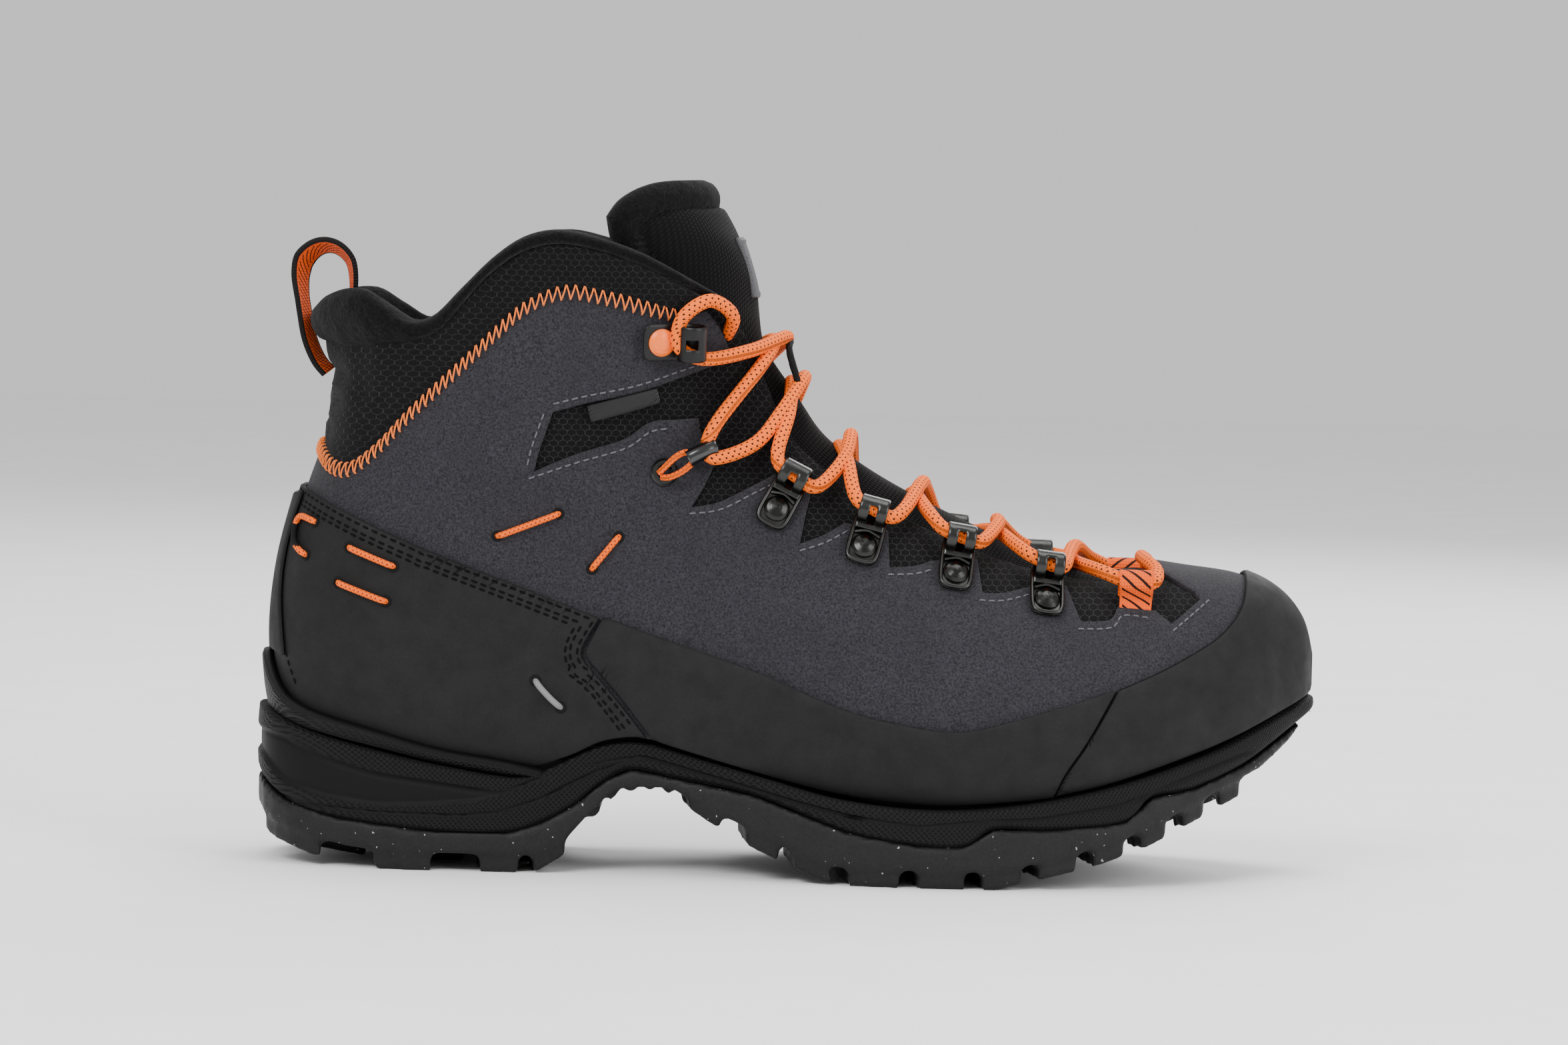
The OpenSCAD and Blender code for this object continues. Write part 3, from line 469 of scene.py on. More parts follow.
def loft(name, rows, materials, flat, ring=False, pick=None, smooth_angle=50):
    """A closed form from rows of points, each row a closed profile."""
    rows = np.asarray(rows, float)
    count, around, _ = rows.shape
    faces = wall(count, around, ring)
    chosen = [pick(k % around) if pick else 0 for k in range(len(faces))]
    if not ring:
        chosen[-2:] = [chosen[0], chosen[0]]
    shape = (rows.reshape(-1, 3), faces, np.asarray(flat, float).reshape(-1, 3))
    return new_object(name, shape, materials, chosen, smooth_angle)


def ribbon(path, across, width, thickness):
    """Points, faces and flat coordinates of a flat band along path. across points over
    its width, and the first flat coordinate counts along it."""
    path = np.asarray(path, float)
    across = np.broadcast_to(np.asarray(across, float), path.shape)
    face = unit(np.cross(unit(np.gradient(path, axis=0)), across))
    w, h, corner = width / 2, thickness / 2, 0.3
    shape = [(-w, h - corner), (corner - w, h), (0, h), (w - corner, h), (w, h - corner),
             (w, corner - h), (w - corner, -h), (0, -h), (corner - w, -h), (-w, corner - h)]
    shape = np.array(shape)
    rows = (path[:, None] + shape[None, :, 0, None] * across[:, None]
            + shape[None, :, 1, None] * face[:, None])
    flat = np.stack([np.repeat(distances(path), len(shape)),
                     np.tile(shape[:, 0], len(path)), np.zeros(len(path) * len(shape))], -1)
    return rows.reshape(-1, 3), wall(len(path), len(shape)), flat


def stitches(line, low, length, space, radius):
    """Thread along a line of places, in short humps that dive into the panel."""
    walked = distances(foot(line))
    parts = []
    start = space / 2
    while start + length < walked[-1]:
        stops = start + length * np.array([0, 0.15, 0.5, 0.85, 1])
        q = at_stops(line, walked, stops)
        lift = low + radius * np.array([-0.9, 0.35, 0.75, 0.35, -0.9])
        parts.append(tube(foot(q, lift), radius * np.array([0.55, 1, 1, 1, 0.55]), 6,
                          foot_normal(q), 0.8))
        start += length + space
    return gather(parts)


# ---- Materials ----
def srgb(red, green, blue):
    """A colour as seen on a screen, from 0 to 255, as linear light."""
    c = np.array([red, green, blue]) / 255
    return tuple(np.where(c < 0.04045, c / 12.92, ((c + 0.055) / 1.055) ** 2.4).tolist())


class Finish:
    """One material. Its methods add nodes, and give back their first output."""

    def __init__(self, name, colour, roughness, **values):
        self.material = bpy.data.materials.new(name)
        self.material.use_nodes = True
        self.nodes = self.material.node_tree.nodes
        self.links = self.material.node_tree.links
        self.shader = self.nodes["Principled BSDF"]
        self.set("Base Color", (*colour, 1))
        self.set("Roughness", roughness)
        for key, value in values.items():
            self.set(key.replace("_", " "), value)

    def set(self, name, value):
        self.feed(self.shader.inputs[name], value)

    def feed(self, socket, value):
        if isinstance(value, bpy.types.NodeSocket):
            self.links.new(value, socket)
        else:
            socket.default_value = value

    def add(self, kind, *inputs, **settings):
        node = self.nodes.new("ShaderNode" + kind)
        for key, value in settings.items():
            setattr(node, key, value)
        for k, value in enumerate(inputs):
            if value is not None:
                self.feed(node.inputs[k], value)
        return node.outputs[0]

    def math(self, operation, *inputs):
        return self.add("Math", *inputs, operation=operation)

    def place(self):
        """The point on the object, in millimetres."""
        where = self.add("TexCoord").node.outputs["Object"]
        return self.add("VectorMath", where, (1000, 1000, 1000), operation="MULTIPLY")

    def flat(self):
        """The three values of the flat attribute: usually two lengths and an edge's."""
        node = self.add("Attribute", attribute_name="flat").node
        parts = self.add("SeparateXYZ", node.outputs["Vector"]).node
        return parts.outputs[0], parts.outputs[1], parts.outputs[2]

    def noise(self, scale, detail=3.0, rough=0.55):
        node = self.add("TexNoise", self.place()).node
        node.inputs["Scale"].default_value = scale
        node.inputs["Detail"].default_value = detail
        node.inputs["Roughness"].default_value = rough
        return node.outputs[0]

    def spread(self, value, low, high, to_low=0.0, to_high=1.0):
        return self.add("MapRange", value, low, high, to_low, to_high)

    def mix(self, factor, first, second):
        node = self.nodes.new("ShaderNodeMix")
        node.data_type = "RGBA"
        self.feed(node.inputs[0], factor)
        for socket, value in ((node.inputs[6], first), (node.inputs[7], second)):
            colour = value if isinstance(value, bpy.types.NodeSocket) else (*value, 1)
            self.feed(socket, colour)
        return node.outputs[2]

    def bump(self, height, distance):
        """Relief of that depth in millimetres, on top of any that is there already."""
        node = self.nodes.new("ShaderNodeBump")
        node.inputs["Strength"].default_value = 1.0
        node.inputs["Distance"].default_value = distance / 1000
        self.feed(node.inputs["Height"], height)
        normal = self.shader.inputs["Normal"]
        if normal.links:
            self.links.new(normal.links[0].from_socket, node.inputs["Normal"])
        self.links.new(node.outputs[0], normal)

    def wave(self, value, pitch):
        """A smooth wave of that pitch along value, from 0 to 1."""
        turned = self.math("MULTIPLY", value, 2 * math.pi / pitch)
        return self.math("MULTIPLY_ADD", self.math("SINE", turned), 0.5, 0.5)

    def hexagons(self, u, v):
        """Distance from the middle of a hexagon one unit wide: 0.5 is its edge."""
        root = math.sqrt(3)
        found = []
        for shift in (0.0, 0.5):
            x = self.math("FLOORED_MODULO", self.math("ADD", u, shift), 1.0)
            y = self.math("FLOORED_MODULO", self.math("ADD", v, shift * root), root)
            x = self.math("ABSOLUTE", self.math("SUBTRACT", x, 0.5))
            y = self.math("ABSOLUTE", self.math("SUBTRACT", y, root / 2))
            slant = self.math("MULTIPLY_ADD", y, root / 2, self.math("MULTIPLY", x, 0.5))
            found.append(self.math("MAXIMUM", x, slant))
        return self.math("MINIMUM", *found)


def make_suede():
    made = Finish("suede", srgb(42, 41, 45), 0.95, Sheen_Weight=0.08, Sheen_Roughness=0.4,
                  Specular_IOR_Level=0.15)
    grain = made.noise(1.7, 4, 0.7)
    cloud = made.noise(0.06, 3)
    tone = made.mix(made.spread(grain, 0.36, 0.64), srgb(27, 26, 29), srgb(56, 55, 60))
    made.set("Base Color", made.mix(made.spread(cloud, 0.3, 0.8, 0, 0.35), tone,
                                    srgb(34, 33, 37)))
    made.bump(grain, 0.25)
    made.bump(cloud, 0.5)
    return made.material


def make_rubber(name, dark, light, grain_size=2.2, depth=0.12, roughness=0.68, specks=False):
    made = Finish(name, dark, roughness, Specular_IOR_Level=0.22)
    grain = made.noise(grain_size, 3, 0.6)
    colour = made.mix(made.spread(grain, 0.3, 0.7), dark, light)
    if specks:
        spots = made.noise(0.9, 1, 0.3)
        colour = made.mix(made.spread(spots, 0.77, 0.785), colour, srgb(150, 150, 146))
    made.set("Base Color", colour)
    made.set("Roughness", made.spread(made.noise(0.15, 3), 0.3, 0.7, roughness - 0.08,
                                      roughness + 0.1))
    made.bump(grain, depth)
    return made.material


def make_crosshatch(name, roughness, light, first=0.0, full=1.0):
    """Black, with fine crossed lines moulded in where the third flat value says so."""
    made = Finish(name, srgb(8, 8, 8), roughness, Specular_IOR_Level=0.16)
    x, y, z = (made.add("SeparateXYZ", made.place()).node.outputs[k] for k in range(3))
    along_side = made.math("ADD", x, y)
    rising = made.wave(made.math("ADD", along_side, z), 1.5)
    falling = made.wave(made.math("SUBTRACT", along_side, z), 1.5)
    lines = made.math("MAXIMUM", rising, falling)
    band = made.spread(made.flat()[2], first, full)
    # The raised lines are painted lighter than the black between them: a painted highlight on the
    # ridges.
    raised = made.math("MULTIPLY", made.spread(lines, 0.5, 1), band)
    made.set("Base Color", made.mix(raised, srgb(5, 5, 5), light))
    made.bump(made.math("MULTIPLY", lines, band), 0.4)
    made.bump(made.noise(2.4, 2), 0.06)
    return made.material


def make_fleece(name, dark, light):
    made = Finish(name, dark, 1.0, Sheen_Weight=0.08, Sheen_Roughness=0.35,
                  Specular_IOR_Level=0.08)
    pile = made.noise(1.1, 5, 0.75)
    clump = made.noise(0.25, 3)
    made.set("Base Color", made.mix(made.spread(pile, 0.32, 0.7), dark, light))
    made.bump(pile, 0.5)
    made.bump(clump, 0.7)
    return made.material


def make_hex_mesh(name, line):
    """Black knit with greyer threads round six-sided cells."""
    made = Finish(name, srgb(14, 14, 15), 0.9, Sheen_Weight=0.05,
                  Specular_IOR_Level=0.12)
    u, v, _ = made.flat()
    pitch = 2.5
    cell = made.hexagons(made.math("DIVIDE", u, pitch), made.math("DIVIDE", v, pitch * 0.72))
    thread = made.spread(cell, 0.41, 0.48)
    weave = made.noise(2.6, 3)
    broken = made.math("MULTIPLY", thread, made.spread(weave, 0.38, 0.56))
    colour = made.mix(made.spread(weave, 0.35, 0.65), srgb(3, 3, 4), srgb(13, 13, 14))
    made.set("Base Color", made.mix(broken, colour, line))
    made.bump(thread, 0.25)
    made.bump(weave, 0.25)
    return made.material


def make_rib_mesh():
    """Black spacer knit in fine ribs."""
    made = Finish("black_mesh", srgb(12, 12, 13), 0.9, Sheen_Weight=0.05,
                  Specular_IOR_Level=0.12)
    u, v, _ = made.flat()
    ribs = made.wave(v, 1.15)
    beads = made.wave(u, 0.95)
    knit = made.math("MULTIPLY", ribs, made.math("MULTIPLY_ADD", beads, 0.6, 0.4))
    # The ribs are painted lighter and the grooves between them darker: painted shade in the
    # grooves of one black knit.
    made.set("Base Color", made.mix(knit, srgb(2, 2, 3), srgb(13, 13, 14)))
    made.bump(knit, 0.4)
    return made.material


def make_cord(name, orange, deep, fleck, along_pitch, turns):
    """A round braid with rows of dark flecks. flat is its length and its girth."""
    made = Finish(name, orange, 0.75, Specular_IOR_Level=0.2)
    length, turn, _ = made.flat()
    u = made.math("DIVIDE", length, along_pitch)
    v = made.math("MULTIPLY", turn, turns / (2 * math.pi))
    row = made.math("FLOOR", v)
    u = made.math("ADD", u, made.math("MULTIPLY", row, 0.5))
    du = made.math("ABSOLUTE", made.math("SUBTRACT", made.math("FRACT", u), 0.5))
    dv = made.math("ABSOLUTE", made.math("SUBTRACT", made.math("FRACT", v), 0.5))
    spot = made.math("MAXIMUM", made.math("MULTIPLY", du, 1.5), dv)
    dark = made.spread(spot, 0.24, 0.2)
    strands = made.wave(made.math("ADD", made.math("MULTIPLY", u, 2.0), v), 1.0)
    # The strands are painted orange where they stand up and a deeper orange in the grooves
    # between them: painted shade.
    colour = made.mix(strands, deep, orange)
    made.set("Base Color", made.mix(dark, colour, fleck))
    made.bump(strands, 0.12)
    return made.material


def make_webbing(name, edge_at, bar_pitch, bar_reach):
    """Flat orange tape with dark slanted bars and, past edge_at, dark edges."""
    made = Finish(name, srgb(244, 92, 22), 0.8, Specular_IOR_Level=0.2)
    length, across, _ = made.flat()
    slant = made.math("ADD", length, made.math("MULTIPLY", across, 0.8))
    bars = made.spread(made.wave(slant, bar_pitch), 0.8, 0.88)
    reach = made.math("ABSOLUTE", across)
    bars = made.math("MULTIPLY", bars, made.spread(reach, bar_reach, bar_reach - 0.25))
    edge = made.spread(reach, edge_at, edge_at + 0.2)
    weave = made.math("MULTIPLY", made.wave(length, 0.8), made.wave(across, 0.8))
    # The weave is painted brighter where its threads stand up and darker between them: painted
    # highlight and shade.
    colour = made.mix(weave, srgb(226, 76, 6), srgb(255, 116, 12))
    colour = made.mix(bars, colour, srgb(26, 12, 10))
    made.set("Base Color", made.mix(edge, colour, srgb(16, 12, 12)))
    made.bump(weave, 0.2)
    return made.material


def make_thread(name, colour, sheen=0.2, specular=0.4):
    made = Finish(name, colour, 0.6, Sheen_Weight=sheen, Specular_IOR_Level=specular)
    length = made.flat()[0]
    twist = made.wave(length, 0.55)
    # The twist is painted darker in the grooves between its plies: painted shade.
    made.set("Base Color", made.mix(twist, tuple(0.6 * c for c in colour), colour))
    made.bump(twist, 0.08)
    return made.material


def make_metal(name, colour, roughness):
    made = Finish(name, colour, roughness, Metallic=1.0)
    cloud = made.noise(0.5, 4)
    made.set("Roughness", made.spread(cloud, 0.3, 0.7, roughness - 0.07, roughness + 0.1))
    made.bump(made.noise(1.6, 2), 0.02)
    return made.material


def make_plain(name, colour, roughness, grain=1.5, depth=0.05, **values):
    made = Finish(name, colour, roughness, **values)
    texture = made.noise(grain, 3)
    made.set("Base Color", made.mix(made.spread(texture, 0.3, 0.7),
                                    tuple(0.8 * c for c in colour), colour))
    made.bump(texture, depth)
    return made.material


SUEDE = make_suede()
RAND = make_rubber("rand_rubber", srgb(14, 14, 14), srgb(22, 22, 22))
HEEL_RUBBER = make_rubber("heel_rubber", srgb(13, 13, 13), srgb(22, 22, 22))
OUTSOLE = make_rubber("outsole_rubber", srgb(15, 15, 15), srgb(26, 26, 26), 1.6, 0.15, 0.55,
                      True)
# The colour given to each crosshatch finish is the painted highlight on its raised lines.
CRADLE = make_crosshatch("cradle_plastic", 0.5, srgb(15, 15, 15), 0.9, 1.3)
MIDSOLE = make_crosshatch("midsole_foam", 0.62, srgb(18, 18, 18))
FLEECE = make_fleece("collar_fleece", srgb(5, 5, 6), srgb(24, 24, 25))
LINING = make_fleece("lining_fleece", srgb(10, 10, 11), srgb(30, 30, 32))
HEX_MESH = make_hex_mesh("collar_mesh", srgb(38, 38, 39))
WINDOW_MESH = make_hex_mesh("window_mesh", srgb(46, 46, 48))
RIB_MESH = make_rib_mesh()
# The second colour given to each cord is its painted shade in the grooves between the strands;
# the third is its real flecks.
LACE = make_cord("lace_braid", srgb(255, 122, 8), srgb(242, 88, 4), srgb(30, 12, 8), 1.9, 10)
CABLE = make_cord("orange_cable", srgb(255, 118, 10), srgb(236, 80, 4), srgb(120, 36, 8),
                  1.3, 6)
GREY_CABLE = make_plain("grey_cable", srgb(118, 118, 118), 0.6, 2.0, 0.1)
PULL_TAPE = make_webbing("pull_webbing", 4.3, 1.9, 3.4)
TOE_TAPE = make_webbing("toe_webbing", 5.05, 3.4, 4.3)
GREY_THREAD = make_thread("grey_thread", srgb(92, 91, 98), 0.1)
ORANGE_THREAD = make_thread("orange_thread", srgb(255, 124, 20))
BLACK_THREAD = make_thread("black_thread", srgb(2, 2, 2), 0.0, 0.1)
DARK_METAL = make_metal("hook_metal", srgb(58, 58, 57), 0.27)
RIVET_METAL = make_metal("rivet_metal", srgb(50, 50, 49), 0.24)
HOOK_PLASTIC = make_plain("hook_plastic", srgb(10, 10, 11), 0.38, 2.5, 0.04,
                          Specular_IOR_Level=0.3)
ORANGE_METAL = make_plain("orange_rivet", srgb(255, 112, 10), 0.38, 2.0, 0.02)
FERRULE = make_plain("ferrule_plastic", srgb(14, 14, 15), 0.2, 2.0, 0.02, Coat_Weight=0.5)
LABEL = make_plain("label_rubber", srgb(17, 17, 18), 0.5, 1.0, 0.05, Specular_IOR_Level=0.3)
LABEL_GREY = make_plain("label_grey", srgb(72, 72, 75), 0.7, 2.5, 0.1)
TAPE = make_plain("black_tape", srgb(9, 9, 10), 0.8, 2.5, 0.15, Specular_IOR_Level=0.2)
BOARD = make_plain("fibreboard", srgb(34, 32, 30), 0.9, 1.2, 0.1)
FOOTBED = make_plain("footbed_foam", srgb(58, 58, 64), 0.95, 2.0, 0.2, Sheen_Weight=0.4)
STEEL = make_metal("shank_steel", srgb(150, 150, 150), 0.35)
STIFFENER = make_plain("stiffener", srgb(206, 198, 180), 0.9, 1.5, 0.1)
AGLET = make_plain("aglet_plastic", srgb(38, 38, 38), 0.3, 2.0, 0.02)

for node, finish in (
        ("outsole", OUTSOLE), ("shank", STEEL), ("insole_board", BOARD),
        ("footbed", FOOTBED), ("heel_counter", STIFFENER), ("toe_puff", STIFFENER),
        ("aglets", AGLET), ("eyelet_outer", DARK_METAL), ("eyelet_inner", DARK_METAL),
        ("top_hook_rivets", ORANGE_METAL), ("lace_hook_rivets", RIVET_METAL)):
    for place_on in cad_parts[node].material_slots:
        place_on.material = finish

# The outsole is one moulding, with small round edges to its lugs.
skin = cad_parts["outsole"].modifiers.new("one_skin", "REMESH")
skin.mode = "VOXEL"
skin.voxel_size = 0.0011
skin.use_smooth_shade = True
round_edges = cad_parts["outsole"].modifiers.new("round_edges", "SMOOTH")
round_edges.factor = 0.5
round_edges.iterations = 3


def finished(obj, slot_name, *nodes, body="boot"):
    """Attaches a piece to its body and hides the CAD nodes that it stands for."""
    if nodes:
        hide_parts(*nodes)
    if body:
        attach(obj, body)
    return obj


# ---- Side-view lines, as in the CAD source ----
AT_SOLE = 14.3
AT_SEAM = 17.68
AT_PANEL_TOP = 17.12
AT_RIM = 20
AT_TOE_CAP = 2.9
LASTED_EDGE = [(8, 46), (14, 40.5), (34, 35.5), (53, 32), (76, 30), (90, 33.5), (100, 38),
               (108, 39.5), (118, 38), (131, 34.5), (147, 30.5), (169, 26), (195, 24),
               (220, 26), (245, 31), (271, 39.5), (289, 47), (303, 53)]
COLLAR_SEAM = [(17, 119), (21, 114), (27, 113), (35, 119), (44, 129), (56, 141),
               (68, 153), (77, 161), (87, 165), (97, 164), (110, 161), (121, 159)]
COLLAR_RIM = [(14, 158), (19, 163), (28, 164), (36, 159), (43, 155), (50, 157),
              (58, 165), (67, 174), (76, 180), (86, 182), (97, 180), (109, 176),
              (119, 171), (130, 165)]
FLEECE_EDGE = [(19, 149), (26, 147), (36, 148.5), (44, 149.5), (52, 153), (58, 160), (66, 169),
               (75, 175.5), (85, 178), (96, 176.5), (107, 173), (117, 168.5), (128, 163.5)]
MESH_EDGE = [(131, 163), (138, 155), (143, 146), (147, 136), (153, 125), (163, 116),
             (177, 107), (192, 100.5), (207, 94.5), (222, 90), (240, 87), (254, 87)]
UNDERLAY_LOW = [(74, 106), (100, 110), (120, 99), (141, 91), (165, 84), (190, 77), (215, 73),
                (246, 69), (268, 69)]
RAND_TOP = [(100, 73), (118, 67), (143, 59), (169, 49), (188, 45), (201, 44), (213, 46.5),
            (232, 52), (245, 56)]
TOE_CAP_TOP = [(245, 56), (257, 61), (267, 66), (275, 71), (281, 78), (283.5, 86.6)]
HEEL_TOP = [(13, 107), (28, 100), (52, 90), (76, 81), (99, 72.5)]
CAP_SEAM = [(228, 27), (231, 33), (237, 42), (245, 56)]
HEEL_FRONT = [(113, 39.5), (108.5, 45), (104, 50.3), (100, 54.8), (96.4, 58.6), (94.3, 61.4),
              (94.2, 64), (96, 67.6), (99, 72.5)]
RAND_BACK = [(114.2, 39.5), (109.5, 45.4), (105, 50.8), (101, 55.3), (97.5, 59), (95.4, 61.7),
             (95.3, 63.8), (97, 67.4), (100, 73)]
# The suede's edge round the throat, from the collar down to the ridge over the toes:
# the window beside the ankle, the tabs under the hooks, and the notches between them.
# Each run starts where the one before it ends, so that the corners stay sharp.
THROAT_START = (121, 159)
THROAT = [
    [(127, 160)], [(131, 155), (135, 146.5)],
    [(122, 141.5), (108.5, 136.5), (93, 133), (84.5, 130.5)], [(81, 120), (79.5, 113.5)],
    [(91, 118.5), (104.5, 123), (112, 128), (120, 129), (125.5, 129.5)],
    [(127, 123), (130.5, 117)], [(127.5, 110.5), (124, 104.5)],
    [(131.5, 106), (141.5, 111), (147, 114)], [(158, 110)], [(156.5, 103), (155, 95)],
    [(161.5, 97.5), (167.5, 101)], [(180, 99)], [(180.5, 89)], [(187.5, 89.5), (192.5, 91)],
    [(205.5, 91.5)], [(207, 82.5)], [(213, 82.5), (221, 84.5)], [(231, 84.5)], [(235, 75)],
    [(243, 75.5), (245.5, 79)], [(256.5, 78)], [(261, 74.5)], [(269.5, 81)], [(268, 83)],
    [(259, 88)],
]
AT_THROAT_END = 4.4
# The lifts of outer and inner faces over the foot shape.
SUEDE_TOP = 0.1
RUBBER_LOW = 0.3
RUBBER_TOP = 2.0


def starting(line, t, a):
    """The line with its first place put exactly on an outline of the foot shape."""
    return np.concatenate([[(t, a)], line[1:]])


def ending(line, t, a):
    return np.concatenate([line[:-1], [(t, a)]])


def under_nose(low):
    """Round the front of the toes, from the end of low on the outer side to the inner."""
    nose = low[-1, 1]
    return np.stack([np.zeros(25), np.linspace(-nose, nose, 25)], -1)


def around_both(top, bottom, at_top, at_bottom):
    """The outline of a panel that goes all the way round both sides of the boot. top runs
    on the outer side from the heel to the ridge, and bottom from the heel to the toe."""
    return joined(top, mirrored(top), outline(at_top, at_bottom, 180), bottom * [1, -1],
                  under_nose(bottom), bottom[::-1],
                  outline(at_top, at_bottom, -180)[::-1])[:-1]


# ---- Suede ----
starts = [THROAT_START] + [run[-1] for run in THROAT]
throat = joined(*[trace([start] + run, OUTER, 1.3) for start, run in zip(starts, THROAT)],
                trace([(259, 88), (257.6, 90.2)], OUTER, 1.0))
throat = ending(throat, AT_THROAT_END, 0)
collar_seam = starting(trace(COLLAR_SEAM, OUTER), AT_SEAM, -180)
lasted = starting(trace(LASTED_EDGE, OUTER), AT_SOLE, -180)
lasted = ending(lasted, 0, lasted[-1, 1])
suede_top = joined(collar_seam, throat)
suede = panel("suede_upper", around_both(suede_top, lasted, AT_SEAM, AT_SOLE),
              -1.5, SUEDE_TOP, [SUEDE], edge=0.5)
finished(suede, "suede", "suede_upper")

# Grey thread a little outside the window and the notches.
STITCHED = [
    [(131, 146.8), (121, 143.3), (108, 138.6), (93, 135.2), (84, 132.8)],
    [(82, 130.5), (78.6, 120.5), (77, 113)],
    [(77.5, 111.5), (91, 116.3), (105, 120.7), (112, 125.5), (119, 126.5)],
    [(123, 102.5), (132, 103.8), (142, 108.8), (149, 112.3)],
    [(154.5, 92.7), (162, 95.2), (169.5, 99.2)],
    [(179.5, 86.8), (188, 87.2), (194.5, 89)],
    [(205.5, 80.3), (213, 80.2), (223, 82.6)],
    [(233.5, 72.8), (243.5, 73.2), (247, 76.5), (255.5, 75.7)],
    [(261, 72.2), (272.3, 80.8)],
]
for side, word in SIDES:
    sewn = gather([stitches(trace(line, side), SUEDE_TOP, 1.9, 0.8, 0.26)
                   for line in STITCHED])
    finished(new_object(f"suede_stitches_{word}", sewn, [GREY_THREAD]), "suede")

# ---- Mesh under the suede ----
mesh_top = joined(trace(MESH_EDGE, OUTER), trace([(254, 87), (258, 89), (260.5, 90.1)], OUTER))
mesh_top = ending(mesh_top, 4.24, 0)
mesh_low = joined(trace(UNDERLAY_LOW, OUTER), trace([(268, 69), (276, 76), (277, 88)], OUTER))
mesh_low = ending(mesh_low, 3.3, 0)
mesh_back = trace([(131, 163), (106, 150), (82, 137), (76, 122), (74, 106)], OUTER)
mesh_loop = joined(mesh_top, mirrored(mesh_top), mesh_back * [1, -1], mesh_low * [1, -1],
                   mesh_low[::-1], mesh_back[::-1])[:-1]


def pillow(p, depth):
    """The mesh swells a little between the edges that hold it."""
    return 0.5 * np.clip(depth / 8, 0, 1)


underlay = panel("mesh_underlay", mesh_loop, -2.9, -1.75, [WINDOW_MESH], edge=0.4,
                 spacing=3.2, rise=pillow)
finished(underlay, "mesh", "mesh_underlay_outer", "mesh_underlay_inner")

# ---- Rubber rand, toe cap and heel panels ----
cap_top = ending(trace(TOE_CAP_TOP, OUTER), AT_TOE_CAP, 0)
cap_low = trace([(228, 27)] + LASTED_EDGE[14:], OUTER)
cap_low = ending(cap_low, 0, cap_low[-1, 1])
cap_back = trace(CAP_SEAM, OUTER)
cap_loop = joined(cap_top, mirrored(cap_top), cap_back[::-1] * [1, -1], cap_low * [1, -1],
                  under_nose(cap_low), cap_low[::-1], cap_back)[:-1]
cap = panel("toe_cap", cap_loop, RUBBER_LOW, 1.8, [RAND], edge=1.2)
finished(cap, "rand_rubber", "toe_rand")

rand_low = [(114.2, 39.5)] + LASTED_EDGE[8:14] + [(227.5, 27)]
for side, word in SIDES:
    loop = joined(trace(RAND_TOP[:-1] + [(244.5, 56)], side),
                  trace([(244.5, 56), (236.5, 42), (230.5, 33), (227.5, 27)], side),
                  trace(rand_low[::-1], side),
                  trace(RAND_BACK, side))[:-1]
    rand = panel(f"rand_{word}", loop, RUBBER_LOW, RUBBER_TOP, [RAND], edge=0.7,
                 spacing=2.0)
    finished(rand, "rand_rubber", f"rand_{word}")

    heel_top = starting(trace(HEEL_TOP, side), AT_PANEL_TOP, side * 180)
    low = starting(trace(LASTED_EDGE[:8] + [(113, 39.5)], side), AT_SOLE, side * 180)
    loop = joined(heel_top, trace(HEEL_FRONT, side)[::-1], low[::-1],
                  outline(AT_SOLE, AT_PANEL_TOP, side * 180))[:-1]
    overlay = panel(f"heel_overlay_{word}", loop, RUBBER_LOW, RUBBER_TOP, [HEEL_RUBBER],
                    edge=0.7)
    finished(overlay, "heel_rubber", f"heel_overlay_{word}")

    border = joined(heel_top, trace(HEEL_FRONT, side)[::-1])
    corner = len(heel_top) - 1
    rows = []
    for inset in (1.1, 3.2, 4.6):
        way = inwards(border, closed=False) * side * -1
        moved = shifted(border, way * inset)
        clear = nearest(foot(moved), foot(border)) > 0.9 * inset
        for part in (slice(4, corner), slice(corner, -3)):
            rows.append(moved[part][clear[part]])
    rows.append(trace([(13.6, 103), (10.2, 92), (8.6, 80), (10.4, 62), (14.2, 51)], side))
    sewn = gather([stitches(line, RUBBER_TOP, 1.9, 0.9, 0.28) for line in rows])
    finished(new_object(f"heel_stitches_{word}", sewn, [BLACK_THREAD]), "heel_rubber")

STRIP_TOP, STRIP_LOW = 17, 14.9
strip_top = starting(trace([(12, 104), (15, 105)], OUTER), STRIP_TOP, -180)
strip_front = trace([(15, 105), (10.8, 90), (9.5, 76), (11, 59)], OUTER)
strip_low = ending(trace([(11, 59), (6.4, 60.5)], OUTER), STRIP_LOW, -180)
half = joined(strip_top, strip_front, strip_low)
strip_loop = joined(half, outline(STRIP_LOW, STRIP_TOP, -180))[:-1]
# The strip crosses the back of the heel, so it is drawn as two halves that meet there.
for side, word in SIDES:
    strip = panel(f"back_strip_{word}", strip_loop * [1, -side], 2.2, 3.3, [RAND], edge=0.6,
                  spacing=2.0)
    finished(strip, "rand_rubber", "back_strip")

# ---- Zigzag stitching where the collar meets the suede ----
for side, word in SIDES:
    seam = resample(collar_seam * [1, -side], foot(collar_seam), 1.3)
    upper = shifted(seam, np.tile([0, 0, 1.9], (len(seam), 1)))
    lower = shifted(seam, np.tile([0, 0, -2.6], (len(seam), 1)))
    parts = []
    for i in range(2, len(seam) - 1):
        ends = (lower[i], upper[i + 1]) if i % 2 else (upper[i], lower[i + 1])
        f = np.array([0, 0.12, 0.5, 0.88, 1])[:, None]
        q = ends[0] * (1 - f) + ends[1] * f
        lift = np.array([0.0, 0.75, 1.0, 0.75, 0.0]) + np.linspace(0.2, 0.5, 5)
        parts.append(tube(foot(q, lift), 0.24, 5, foot_normal(q)))
    finished(new_object(f"zigzag_{word}", gather(parts), [ORANGE_THREAD]), "suede")

